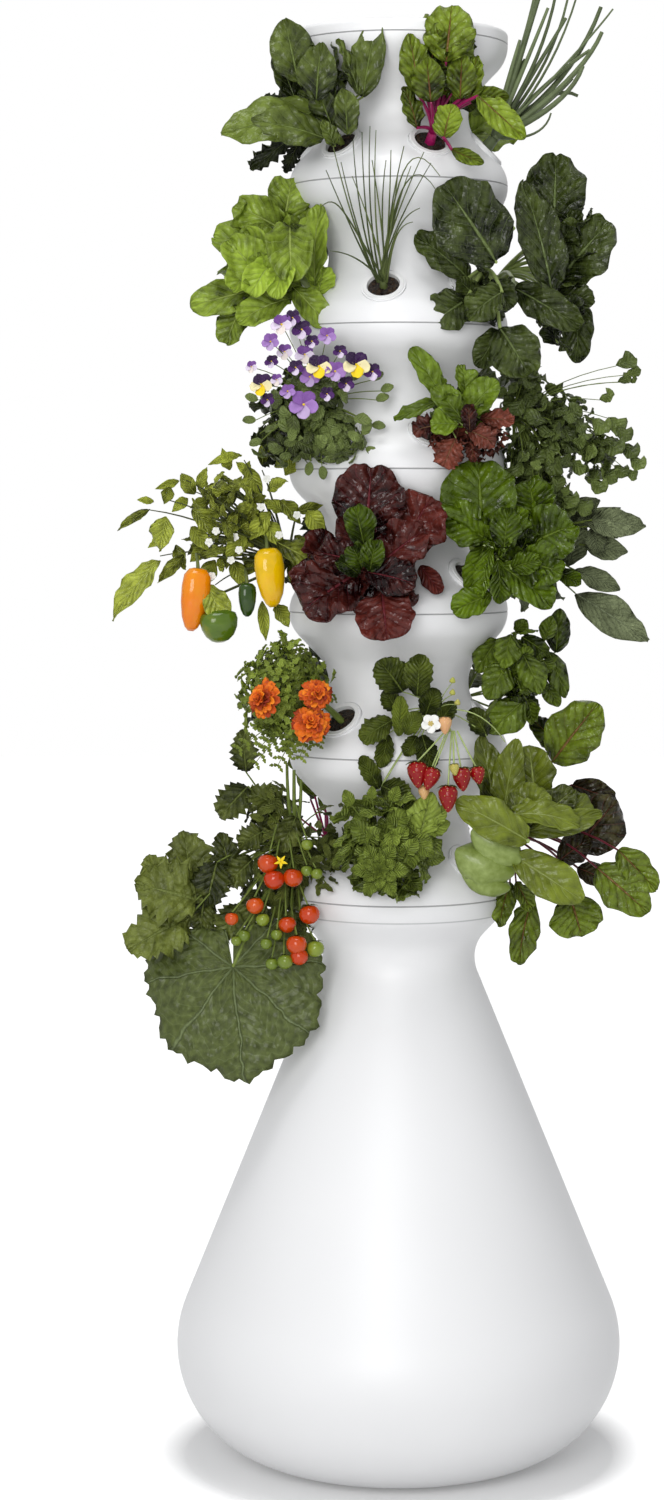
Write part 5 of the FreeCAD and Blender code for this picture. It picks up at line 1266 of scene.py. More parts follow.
def strawberry_leaves(plant):
    plant.photo_leaves(BERRY_FORM, [
        (403, 692, 379, 660, 38, 150, 0, 0, 0.12, 0.35),
        (417, 696, 420, 654, 32, 155, 0, 0, 0.12, 0.40),
        (392, 720, 360, 740, 28, 155, 0, 0, 0.12, 0.50),
        (388, 734, 381, 768, 20, 150, 0, 0, 0.12, 0.45),
        (399, 736, 401, 696, 18, 160, 0, 0, 0.12, 0.95),
        (406, 734, 419, 712, 20, 168, 0, 0, 0.15, 0.60),
        (425, 716, 436, 688, 24, 145, 0, 0, 0.12, 0.20),
        (417, 736, 405, 756, 18, 165, 0, 0, 0.12, 0.30),
        (422, 735, 432, 770, 24, 165, 0, 0, 0.12, 0.20),
        (379, 789, 361, 756, 20, 150, 0, 0, 0.12, 0.35),
        (382, 786, 409, 799, 30, 160, 0, 0, 0.12, 0.40),
        (437, 725, 455, 702, 20, 140, 0, 0, 0.12, 0.25),
        (487, 736, 471, 708, 24, 120, 0, 0, 0.12, 0.25),
        (398, 712, 384, 690, 22, 145, 0, 0, 0.12, 0.15)], stalk=0.0011)


def basil():
    plant = Plant(5, 0, "basil", crown=(0.028, 0.0, 0.040))
    plant.photo_leaves(BASIL_FORM, [
        (497, 640, 476, 672, 28, 60, 10, 0, 0.2, 0.45),
        (511, 634, 503, 668, 30, 90, 10, 0, 0.22, 0.55),
        (508, 664, 486, 699, 32, 95, 10, 0, 0.2, 0.45),
        (524, 656, 541, 694, 30, 100, 10, 0, 0.2, 0.55),
        (522, 637, 551, 657, 20, 60, 0, 0, 0.2, 0.15),
        (549, 652, 566, 698, 22, 60, 0, 0, 0.2, 0.35),
        (543, 660, 552, 672, 24, 80, 0, 0, 0.2, 0.50),
        (545, 684, 559, 706, 18, 60, 0, 0, 0.15, 0.45),
        (526, 699, 489, 733, 36, 80, 10, 0, 0.18, 0.65),
        (516, 632, 527, 620, 16, 60, 0, 0, 0.15, 0.30),
        (556, 652, 560, 608, 26, 30, 0, 0, 0.12, 0.15),
        (545, 640, 552, 616, 18, 50, 0, 0, 0.12, 0.55),
        (512, 700, 535, 712, 22, 50, 0, 0, 0.12, 0.2)], stalk=0.0014)
    plant.head(BASIL_FORM, at(520, 676, 0.050), (0.034, 0.050, 0.060), 44, 0.034, 0.026, 0.4, lift=0.0)
    plant.done(BASIL_LEAF, GREEN_STALK)


def bok_choy():
    plant = Plant(6, 5, "bok_choy", crown=(0.030, 0.0, 0.012), stem=0.012)
    plant.photo_leaves(BOK_FORM, [
        (495, 812, 480, 736, 32, 110, 0, 15, 0.12, 0.35),
        (503, 815, 517, 739, 32, 120, 0, -10, 0.12, 0.60),
        (535, 798, 529, 745, 46, 115, 0, 0, 0.14, 0.45),
        (505, 816, 581, 826, 34, 160, 0, -25, 0.30, 0.75),
        (524, 832, 602, 812, 26, 140, 0, 20, 0.14, 0.60),
        (528, 841, 456, 801, 40, 180, 0, 0, 0.16, 0.75),
        (514, 856, 582, 901, 42, 170, 10, 0, 0.12, 0.80),
        (545, 812, 594, 812, 46, 110, 0, 0, 0.16, 0.35),
        (500, 800, 490, 755, 26, 100, 0, 0, 0.1, 0.15),
        (515, 812, 550, 795, 40, 140, 0, 0, 0.2, 0.5),
        (520, 838, 512, 792, 30, 150, 0, 10, 0.2, 0.25),
        (538, 820, 574, 790, 34, 120, 0, 0, 0.2, 0.2)], stalk=0.0045, stalk_shade=0.5)
    bulb = Sheets()
    plant.photo_leaves(LeafForm(0.9, 0.5, wave=0, cup=-0.7, quilt=0, keel=0, crumple=0.05), [
        (514, 874, 456, 850, 50, 165, 0, 0, 0.22, 0.30), (510, 888, 462, 872, 30, 158, 0, 15, 0.25, 0.20),
        (520, 862, 472, 830, 40, 172, 0, -10, 0.2, 0.45)], stalk=0, sheets=bulb)
    plant.keep(bulb, "_bulb", PALE_STALK, 0.0025)
    plant.done(BOK_CHOY_LEAF, PALE_STALK, 8)


def beet():
    plant = Plant(6, 0, "beet", crown=(0.028, 0.0, 0.018), stem=0.008)
    plant.photo_leaves(CHARD_FORM, [
        (575, 850, 617, 800, 60, 40, 0, 0, 0.15, 0.15),
        (572, 785, 617, 800, 26, 10, 0, 10, 0.2, 0.10),
        (560, 860, 590, 838, 30, 60, 0, 0, 0.15, 0.05),
        (578, 868, 606, 880, 24, 30, 0, 0, 0.15, 0.2)], stalk=0.0022, stalk_shade=0.3)
    green = Sheets()
    plant.photo_leaves(CHARD_FORM, [
        (552, 762, 598, 703, 54, 20, 0, 0, 0.12, 0.60),
        (562, 748, 531, 718, 26, 0, 0, 0, 0.12, 0.15),
        (597, 868, 648, 913, 46, 135, 10, 0, 0.14, 0.55),
        (618, 850, 656, 890, 32, 130, 0, 0, 0.14, 0.60),
        (570, 896, 582, 937, 52, 60, 0, 0, 0.12, 0.60),
        (532, 900, 519, 965, 32, 60, 0, 20, 0.2, 0.50),
        (510, 882, 499, 927, 24, 70, 0, 20, 0.12, 0.45),
        (516, 882, 531, 912, 20, 70, 0, -20, 0.12, 0.40)], stalk=0.0018, stalk_shade=0.3,
        sheets=green)
    plant.keep(green, "_green_leaves", CHARD_LEAF)
    plant.done(BEET_LEAF, RED_STALK)


def back_plants():
    """The plants that the photograph hides, of the same kinds as those it shows."""
    for tier, number, name, crown, axis, form, rings, leaf, stalk in [
            (1, 1, "butterhead", (30, 0, 34), (0.8, 0.3, 0.8), LETTUCE_FORM,
             [(6, 30, 20, 6, 78, 66), (5, 66, 50, 6, 74, 60)], PALE_LETTUCE, PALE_STALK),
            (2, 1, "basil", (30, 0, 44), (0.6, 0, 1), BASIL_FORM,
             [(5, 0, 6, 10, 72, 54), (4, 45, 40, 18, 66, 50)], BASIL_LEAF, GREEN_STALK),
            (2, 2, "romaine", (30, 8, 26), (0.7, 0.3, 0.8), ROMAINE_FORM,
             [(6, 0, 14, 24, 84, 64), (4, 40, 50, 24, 82, 60)], ROMAINE_LEAF, PALE_STALK),
            (3, 1, "spinach", (14, 0, 20), (0.5, -0.1, 1), SPINACH_FORM,
             [(5, 15, 16, 42, 88, 62), (3, 60, 58, 46, 92, 62)], SPINACH_LEAF, GREEN_STALK),
            (3, 2, "small_lettuce", (24, 6, 24), (0.6, 0.25, 0.9), LETTUCE_FORM,
             [(6, 0, 18, 10, 70, 54), (4, 40, 55, 10, 64, 48)], SMALL_LETTUCE, PALE_STALK),
            (4, 1, "butterhead", (34, 0, 34), (0.8, 0, 0.8), LETTUCE_FORM,
             [(6, 0, 12, 8, 112, 88), (5, 36, 46, 8, 96, 78)], PALE_LETTUCE, PALE_STALK),
            (5, 1, "strawberry", (26, 0, 20), (0.7, 0, 0.9), BERRY_FORM,
             [(6, 10, 4, 42, 50, 46), (4, 50, 50, 42, 50, 46)], STRAWBERRY_LEAF, GREEN_STALK),
            (5, 2, "tatsoi", (32, 0, 26), (0.7, 0, 0.9), TATSOI_FORM,
             [(6, 0, 8, 32, 72, 62), (4, 45, 48, 46, 78, 66)], TATSOI_LEAF, PALE_STALK),
            (6, 2, "chard", (12, 0, 18), (0.2, 0, 1), CHARD_FORM,
             [(3, 60, 42, 50, 62, 40), (4, 20, 74, 62, 104, 54)], CHARD_LEAF, CHARD_STALK)]:
        plant = Plant(tier, number, name, crown=[part / 1000.0 for part in crown])
        plant.ring_leaves(form, axis, rings)
        plant.done(leaf, stalk)


# Flowers, fruits and small leaves


def lobed(count, low):
    """A leaf edge cut into lobes, down to this share of its width."""
    return lambda share: low + (1 - low) * abs(math.sin(math.pi * count * share)) ** 0.6


VIOLA_LEAFLET = small_leaf("viola_leaflet", LeafForm(0.95, 0.5, along=6, across=4, quilt=0.03), 0.66)
FAN_LEAFLET = small_leaf(
    "fan_leaflet", LeafForm(1.7, 0.6, wave=0.3, waves=2, along=9, across=4, quilt=0, heel=0.06),
    0.95, notch=lobed(3, 0.5))
FEATHER_LEAFLET = small_leaf(
    "feather_leaflet", LeafForm(0.8, 0.6, along=14, across=2, quilt=0, cup=0.4, tip=0.03),
    0.5, notch=lobed(6, 0.2))
TOMATO_LEAFLET = small_leaf(
    "tomato_leaflet", LeafForm(0.8, 0.75, along=10, across=4, quilt=0.08, wave=0.15, tip=0.03),
    0.55, notch=lobed(4, 0.72))
MINT_LEAFLET = small_leaf("mint_leaflet", MINT_FORM, 0.78)
PETAL = small_leaf("round_petal", LeafForm(1.5, 0.42, along=6, across=4, quilt=0, cup=0.25,
                                           wave=0.2, heel=0.2, tip=0.3), 0.9, arch=0.05)
NARROW_PETAL = small_leaf("narrow_petal", LeafForm(1.6, 0.5, along=4, across=4, quilt=0, cup=0.5,
                                                   wave=0.3, heel=0.3, tip=0.5), 0.55, arch=0.2)
SEPAL = small_leaf("sepal", LeafForm(0.7, 0.9, along=4, across=2, quilt=0, tip=0.02), 0.4,
                   arch=0.25)


def little_lump(name, sides, long, wide, flat):
    """A closed pip or chip one unit long, turned about X."""
    rings = [(-0.5, 0.0), (-0.25, 0.8), (0.15, 1.0), (0.5, 0.0)]
    points = [(rings[0][0] * long, 0, 0)]
    faces = []
    for along, reach in rings[1:-1]:
        for spoke in range(sides):
            turn = 2 * math.pi * spoke / sides
            points.append((along * long, reach * wide * math.cos(turn),
                           reach * flat * math.sin(turn)))
    points.append((rings[-1][0] * long, 0, 0))
    last = len(points) - 1
    for spoke in range(sides):
        after = (spoke + 1) % sides
        faces.append((0, 1 + after, 1 + spoke))
        faces.append((1 + spoke, 1 + after, 1 + sides + after, 1 + sides + spoke))
        faces.append((last, 1 + sides + spoke, 1 + sides + after))
    mesh = bpy.data.meshes.new(name)
    mesh.from_pydata(points, [], faces)
    return bpy.data.objects.new(name, mesh)


PIP = little_lump("pip", 5, 1.0, 0.32, 0.26)
CHIP = little_lump("bark_chip", 5, 1.0, 0.38, 0.16)

PETAL_SKIN = petal_finish("viola_petal", [
    (0.0, (0.018, 0.002, 0.035)), (0.3, (0.09, 0.016, 0.17)), (0.5, (0.32, 0.15, 0.48)),
    (0.75, (0.80, 0.72, 0.84)), (0.88, (0.86, 0.78, 0.45)), (1.0, (0.90, 0.66, 0.01))])
MARIGOLD_SKIN = petal_finish("marigold_petal", [
    (0.0, (0.28, 0.022, 0.0005)), (0.5, (0.72, 0.12, 0.002)), (1.0, (0.95, 0.30, 0.008))])
WHITE_PETAL = petal_finish("white_petal", [
    (0.0, (0.80, 0.60, 0.03)), (0.3, (0.75, 0.78, 0.60)), (1.0, (0.86, 0.86, 0.82))])


def fruit_finish(name, stops, roughness=0.2, coat=0.5, dimple=0.0):
    """A glossy fruit's skin, coloured by how ripe its shade says it is."""
    finish = Finish(name)
    cloud = finish.sum("MULTIPLY_ADD", finish.noise(55.0, 2.0), 0.22, -0.11)
    finish.colour(finish.ramp(finish.sum("ADD", finish.shade(), cloud, clamp=True), stops))
    if dimple:
        finish.bump(finish.cells(520.0), dimple, 0.6)
    return finish.set(roughness=roughness, coat_weight=coat, coat_roughness=0.06,
                      specular_ior_level=0.1)


TOMATO_SKIN = fruit_finish("tomato_skin", [
    (0.0, (0.10, 0.16, 0.015)), (0.35, (0.26, 0.33, 0.03)), (0.6, (0.72, 0.17, 0.004)),
    (0.85, (0.58, 0.065, 0.002)), (1.0, (0.52, 0.035, 0.002))])
PEPPER_SKIN = fruit_finish("pepper_skin", [
    (0.0, (0.008, 0.035, 0.002)), (0.3, (0.09, 0.16, 0.008)), (0.62, (0.82, 0.50, 0.001)),
    (1.0, (0.82, 0.2, 0.001))])
BERRY_SKIN = fruit_finish("berry_skin", [
    (0.0, (0.36, 0.42, 0.06)), (0.4, (0.74, 0.42, 0.20)), (0.75, (0.34, 0.007, 0.007)),
    (1.0, (0.24, 0.003, 0.004))], 0.28, 0.3, 0.0014)
SEED_SKIN = plain_finish("seed_skin", (0.62, 0.42, 0.10), (0.80, 0.62, 0.22), 0.5)
BARK_SKIN = plain_finish("bark_chip", (0.008, 0.005, 0.004), (0.07, 0.045, 0.028), 0.9, 300.0)

# Half outlines of the fruits: how far down their length, and how wide there.
TOMATO_SHAPE = [
    (0.08, 0.0), (0.03, 0.30), (0.05, 0.55), (0.16, 0.82), (0.34, 0.98), (0.52, 1.0),
    (0.72, 0.88), (0.88, 0.62), (0.97, 0.30), (1.0, 0.0)]
BERRY_SHAPE = [
    (0.05, 0.0), (0.0, 0.40), (0.07, 0.78), (0.22, 1.0), (0.42, 0.95), (0.62, 0.74),
    (0.82, 0.46), (0.95, 0.20), (1.0, 0.0)]
PEPPER_SHAPE = [
    (0.06, 0.0), (0.0, 0.30), (0.02, 0.60), (0.12, 0.92), (0.30, 1.0), (0.55, 0.93),
    (0.78, 0.74), (0.93, 0.46), (0.99, 0.20), (0.97, 0.0)]


class Fruits:
    """Closed turned fruits gathered into one mesh."""

    def __init__(self):
        self.points = []
        self.faces = []
        self.shades = []

    def add(self, stem, down, length, radius, shape, shade=0.5, lobes=0, depth=0.0, sides=20,
            tip_shade=None):
        down = down.normalized()
        side = down.orthogonal().normalized()
        over = down.cross(side)
        last_shade = shade if tip_shade is None else tip_shade
        first = len(self.points)
        self.points.append(stem + down * (length * shape[0][0]))
        self.shades.append(shade)
        for along, wide in shape[1:-1]:
            for spoke in range(sides):
                turn = 2 * math.pi * spoke / sides
                reach = radius * wide * (1 + depth * math.cos(lobes * turn))
                self.points.append(stem + down * (length * along)
                                   + (side * math.cos(turn) + over * math.sin(turn)) * reach)
                self.shades.append(shade + (last_shade - shade) * along)
        self.points.append(stem + down * (length * shape[-1][0]))
        self.shades.append(last_shade)
        last = len(self.points) - 1
        for spoke in range(sides):
            after = (spoke + 1) % sides
            self.faces.append((first, first + 1 + after, first + 1 + spoke))
            for ring in range(len(shape) - 3):
                upper = first + 1 + ring * sides
                self.faces.append((upper + spoke, upper + after, upper + sides + after,
                                   upper + sides + spoke))
            low = last - sides
            self.faces.append((last, low + spoke, low + after))

    def piece(self, name, material):
        mesh = bpy.data.meshes.new(name)
        mesh.from_pydata(self.points, [], self.faces)
        for polygon in mesh.polygons:
            polygon.use_smooth = True
        shade = mesh.attributes.new("shade", "FLOAT", "POINT")
        shade.data.foreach_set("value", self.shades)
        mesh.materials.append(material)
        return bpy.data.objects.new(name, mesh)


def rim_ways(face):
    """The directions aside and up on a flower that looks this way."""
    side = face.cross(UP).normalized()
    return side, side.cross(face)


def flower(spots, middle, face, radius, shades, lift=0.12):
    """Petals round a middle, one shade for each, two of them beside the top."""
    face = face.normalized()
    side, upward = rim_ways(face)
    for step, shade in enumerate(shades):
        way = 2 * math.pi * (step + 0.5) / len(shades)
        ahead = upward * math.cos(way) + side * math.sin(way)
        spots.add(middle + face * (0.0002 * step), ahead + face * lift, face, radius, shade)


FLOWER_RINGS = 6


def full_flower(spots, dice, middle, face, radius):
    """A double flower: rings of petals that stand up more and more towards the middle."""
    face = face.normalized()
    side, upward = rim_ways(face)
    for ring in range(FLOWER_RINGS):
        part = 1 - ring / FLOWER_RINGS
        count = max(int(17 * part), 5)
        for step in range(count):
            way = 2 * math.pi * (step + 0.5 * (ring % 2)) / count + dice.uniform(-0.15, 0.15)
            ahead = (upward * math.cos(way) + side * math.sin(way)) * part + face * (1.1 - part)
            spots.add(middle + face * (radius * 0.09 * ring), ahead, face,
                      radius * (0.5 + 0.45 * part) * dice.uniform(0.85, 1.1),
                      0.30 + 0.3 * (ring % 2) + dice.uniform(-0.35, 0.4))


def easy_rows(dice, rows):
    """Rows of heel, tip, width and depth filled up with small chance turns."""
    return [(*row, dice.uniform(-10, 10), dice.uniform(-25, 25), 0.14, 0.55 + dice.uniform(-0.3, 0.3))
            for row in rows]


def violas():
    plant = Plant(3, 4, "violas", crown=(0.034, -0.006, 0.030))
    leaflets = Spots()
    plant.bush(leaflets, at(306, 400, 0.120), (0.042, 0.060, 0.050), 130, 0.026, 16, 0.1, 0.4)
    plant.bush(leaflets, at(330, 436, 0.125), (0.036, 0.060, 0.036), 120, 0.026, 14, 0.1, 0.6)
    plant.bush(leaflets, at(286, 440, 0.115), (0.024, 0.050, 0.034), 50, 0.024, 8, 0.1, 0.4)
    for px, py in [(376, 400), (381, 391), (372, 425), (366, 448), (310, 462), (322, 466),
                   (258, 400), (256, 420), (372, 380), (352, 380), (262, 440)]:
        leaflets.add(at(px, py, 0.135), Vector((px - 316, 0, 420 - py)), TOWARDS_CAMERA, 0.018, 0.6)
        plant.stalk_to(at(px, py, 0.135), 0.0009, 0.4)
    plant.keep(leaflets, "_leaves", VIOLA_LEAFLET, VIOLA_LEAF)
    petals = Spots()
    eyes = Spots()
    faces = {"bicolour": [0.0, 0.88, 1.0, 0.88, 0.05], "dark": [0.0, 0.2, 0.70, 0.2, 0.02],
             "lilac": [0.42, 0.52, 0.60, 0.52, 0.40], "white": [0.35, 0.72, 0.80, 0.72, 0.38]}
    for px, py, radius, kind in [
            (282, 325, 12, "white"), (302, 330, 11, "dark"), (327, 336, 10, "lilac"),
            (271, 342, 10, "lilac"), (305, 355, 11, "white"), (285, 352, 9, "white"),
            (319, 367, 14, "bicolour"), (310, 377, 11, "lilac"), (335, 372, 12, "lilac"),
            (356, 365, 15, "bicolour"), (372, 372, 10, "dark"), (262, 385, 13, "bicolour"),
            (304, 405, 16, "lilac"), (252, 367, 7, "white"), (327, 394, 8, "dark"),
            (277, 380, 7, "white"), (293, 318, 9, "dark"), (340, 352, 8, "dark"),
            (272, 362, 8, "dark"), (296, 368, 9, "dark"), (288, 392, 9, "lilac"),
            (268, 400, 8, "dark"), (312, 342, 8, "dark"), (346, 384, 9, "dark")]:
        near = plant.dice.uniform(0.170, 0.192)
        middle = at(px, py, near)
        face = TOWARDS_CAMERA + Vector(((px - 320) * 0.006, 0, plant.dice.uniform(-0.2, 0.25)))
        flower(petals, middle, face, pixel_length(radius * 0.95, near), faces[kind])
        eyes.add(middle + face.normalized() * 0.0022, face, UP, pixel_length(radius, near) * 0.30,
                 1.0)
        plant.stalk_to(middle - face * 0.002, 0.0008, 0.3)
    plant.keep(petals, "_petals", PETAL, PETAL_SKIN)
    plant.keep(eyes, "_eyes", PIP, PETAL_SKIN)
    plant.done(VIOLA_LEAF, GREEN_STALK)


def coriander():
    plant = Plant(3, 0, "coriander", crown=(0.034, 0.0, 0.022))
    leaflets = Spots()
    for px, py, reach, count in [
            (526, 396, (0.04, 0.040, 0.045), 70), (560, 430, (0.05, 0.060, 0.055), 110),
            (528, 462, (0.04, 0.050, 0.050), 80), (548, 500, (0.03, 0.045, 0.030), 50),
            (596, 452, (0.03, 0.040, 0.040), 30)]:
        plant.bush(leaflets, at(px, py, 0.025), reach, count, 0.027, 12, 0.3, 0.5, 0.2, 0.5)
    for px, py, size in [
            (607, 418, 24), (616, 428, 20), (604, 440, 26), (622, 445, 22), (630, 458, 20),
            (614, 466, 18), (626, 470, 14), (600, 468, 22), (590, 480, 22), (574, 500, 22),
            (616, 366, 22), (626, 375, 16), (618, 382, 14), (629, 382, 10), (520, 500, 24),
            (545, 508, 24), (560, 494, 24), (600, 400, 18), (592, 420, 24)]:
        place = at(px, py, 0.03)
        leaflets.add(place, Vector((0.6, plant.dice.uniform(-0.5, 0.3), 0.2 - (py > 400) * 0.7)),
                     TOWARDS_CAMERA + UP * 0.3, pixel_length(size, 0.03),
                     plant.dice.uniform(0.3, 0.8))
        plant.stalk_to(place, 0.0008, 0.3)
    plant.keep(leaflets, "_leaves", FAN_LEAFLET, CORIANDER_LEAF)
    plant.done(CORIANDER_LEAF, GREEN_STALK)


def pepper():
    plant = Plant(4, 3, "pepper", crown=(0.040, 0.0, 0.016), stem=0.005)
    plant.photo_leaves(LONG_FORM, easy_rows(plant.dice, [
        (160, 560, 112, 621, 30, 110), (167, 517, 159, 552, 26, 80), (150, 509, 117, 531, 11, 80),
        (154, 502, 137, 500, 8, 80), (179, 481, 155, 489, 9, 60), (170, 487, 164, 504, 13, 70),
        (199, 490, 207, 467, 12, 50), (195, 494, 181, 473, 16, 60), (242, 455, 208, 465, 12, 40),
        (240, 491, 200, 492, 15, 60), (237, 492, 215, 512, 18, 70), (254, 502, 239, 524, 20, 70),
        (236, 511, 232, 537, 15, 80), (192, 509, 215, 537, 20, 80), (192, 527, 208, 551, 17, 85),
        (200, 557, 229, 549, 15, 90), (184, 555, 158, 583, 14, 90), (207, 585, 226, 631, 28, 125),
        (262, 465, 266, 438, 12, 40), (275, 467, 290, 459, 11, 50), (247, 467, 262, 496, 17, 60),
        (267, 490, 288, 481, 17, 60), (297, 512, 323, 505, 12, 80), (307, 512, 325, 532, 20, 90),
        (277, 542, 331, 577, 32, 110), (295, 535, 318, 568, 19, 90), (262, 601, 266, 641, 12, 70),
        (275, 605, 288, 627, 18, 70), (230, 470, 222, 448, 12, 40), (285, 475, 300, 452, 14, 50),
        (222, 512, 196, 520, 14, 60), (280, 500, 300, 524, 18, 80), (262, 520, 282, 548, 20, 90),
        (246, 535, 226, 560, 20, 90), (270, 512, 250, 540, 20, 95), (215, 560, 198, 590, 18, 70),
        (232, 560, 246, 588, 18, 70), (170, 535, 148, 548, 12, 60), (176, 545, 186, 570, 14, 70),
        (290, 560, 308, 596, 20, 80), (252, 478, 236, 462, 12, 40), (210, 500, 190, 508, 12, 50),
        (226, 498, 242, 476, 12, 45), (240, 520, 262, 534, 16, 80), (188, 498, 172, 512, 12, 50),
        (300, 488, 312, 466, 12, 40), (258, 556, 244, 576, 16, 60), (206, 545, 190, 562, 14, 70),
        (284, 512, 262, 500, 16, 70), (222, 534, 206, 520, 14, 70), (292, 540, 276, 566, 18, 80)]),
        stalk=0)
    plant.head(LONG_FORM, at(232, 518, 0.060), (0.045, 0.082, 0.062), 90, 0.032, 0.013, 0.5, lift=-0.2)
    for px, py in [(160, 556), (150, 510), (168, 500), (196, 492), (206, 520), (240, 492),
                   (244, 460), (262, 470), (230, 545), (204, 556), (268, 508), (298, 512),
                   (284, 542), (215, 585), (262, 590), (276, 605), (186, 480), (190, 545)]:
        end = at(px, py, 0.065)
        knee = plant.crown.lerp(end, 0.55) + UP * 0.022
        plant.stalks.add([plant.crown, knee, end], 0.0022, 0.0008, 0.2, 8)
    fruits = Fruits()
    for px, py, length, wide, tilt, shade, last in [
            (267, 548, 60, 30, 0.1, 0.60, 0.66), (198, 568, 64, 29, -0.12, 0.92, 1.0),
            (247, 583, 34, 18, 0.0, 0.05, 0.05), (217, 610, 33, 38, 0.1, 0.25, 0.32)]:
        near = 0.120
        fruits.add(at(px, py, near), Vector((tilt, 0, -1)), pixel_length(length, near),
                   pixel_length(wide, near) / 2, PEPPER_SHAPE, shade, 3, 0.07, 30, last)
        plant.stalks.add([at(px - 2, py - 14, 0.09), at(px, py - 8, near), at(px, py + 2, near)],
                         0.0018, 0.0026, 0.9)
        plant.stalks.add([plant.crown, at(px - 2, py - 14, 0.09)], 0.0022, 0.0018, 0.3)
    plant.keep(fruits, "_fruits", PEPPER_SKIN)
    petals = Spots()
    for px, py in [(209, 542), (216, 531), (235, 537), (239, 550), (231, 560), (279, 535),
                   (261, 507), (267, 479), (212, 576), (297, 515)]:
        flower(petals, at(px, py, 0.115), TOWARDS_CAMERA - UP * 0.3, 0.0055, [0.9] * 5)
    plant.keep(petals, "_petals", PETAL, WHITE_PETAL)
    plant.done(PEPPER_LEAF, plain_finish("pepper_twig", (0.03, 0.035, 0.012), (0.14, 0.17, 0.05),
                                         0.5))


def marigold():
    plant = Plant(5, 4, "marigold", crown=(0.034, -0.006, 0.026))
    leaflets = Spots()
    plant.bush(leaflets, at(284, 690, 0.120), (0.050, 0.062, 0.062), 330, 0.024, 26, 0.0, 0.6, 0.6, 0.6)
    for px, py in [(240, 748), (256, 762), (278, 765), (300, 757), (316, 744), (262, 745),
                   (288, 748)]:
        tip = at(px, py, 0.150)
        knee = plant.crown.lerp(tip, 0.5) + UP * 0.014
        plant.stalks.add([plant.crown, knee, tip], 0.0012, 0.0005, 0.4, 8)
        for step in range(7):
            share = 0.45 + 0.55 * step / 6
            spot = bezier([plant.crown, knee, tip], share)
            for hand in (-1, 1):
                run = (tip - knee).normalized()
                aside = run.cross(TOWARDS_CAMERA).normalized() * hand
                leaflets.add(spot, run * 0.6 + aside, TOWARDS_CAMERA, 0.017 * (1.2 - share * 0.5),
                             plant.dice.uniform(0.3, 0.8))
    plant.keep(leaflets, "_leaves", FEATHER_LEAFLET, MARIGOLD_LEAF)
    petals = Spots()
    for px, py, radius, turn in [(267, 701, 19, -0.75), (316, 696, 17, 0.15), (311, 725, 20, 0.05)]:
        face = TOWARDS_CAMERA + Vector((turn, 0, 0.1))
        middle = at(px, py, 0.180)
        full_flower(petals, plant.dice, middle, face, pixel_length(radius, 0.18))
        plant.stalks.add([plant.crown, plant.crown.lerp(middle, 0.5) + UP * 0.01,
                          middle - face.normalized() * 0.004], 0.0018, 0.0030, 0.4, 8)
    bud = Fruits()
    bud.add(at(266, 686, 0.165), Vector((0, 0, 1)), 0.012, 0.0055, BERRY_SHAPE, 0.6)
    plant.keep(bud, "_bud", MARIGOLD_SKIN)
    plant.keep(petals, "_petals", NARROW_PETAL, MARIGOLD_SKIN)
    plant.done(MARIGOLD_LEAF, GREEN_STALK)


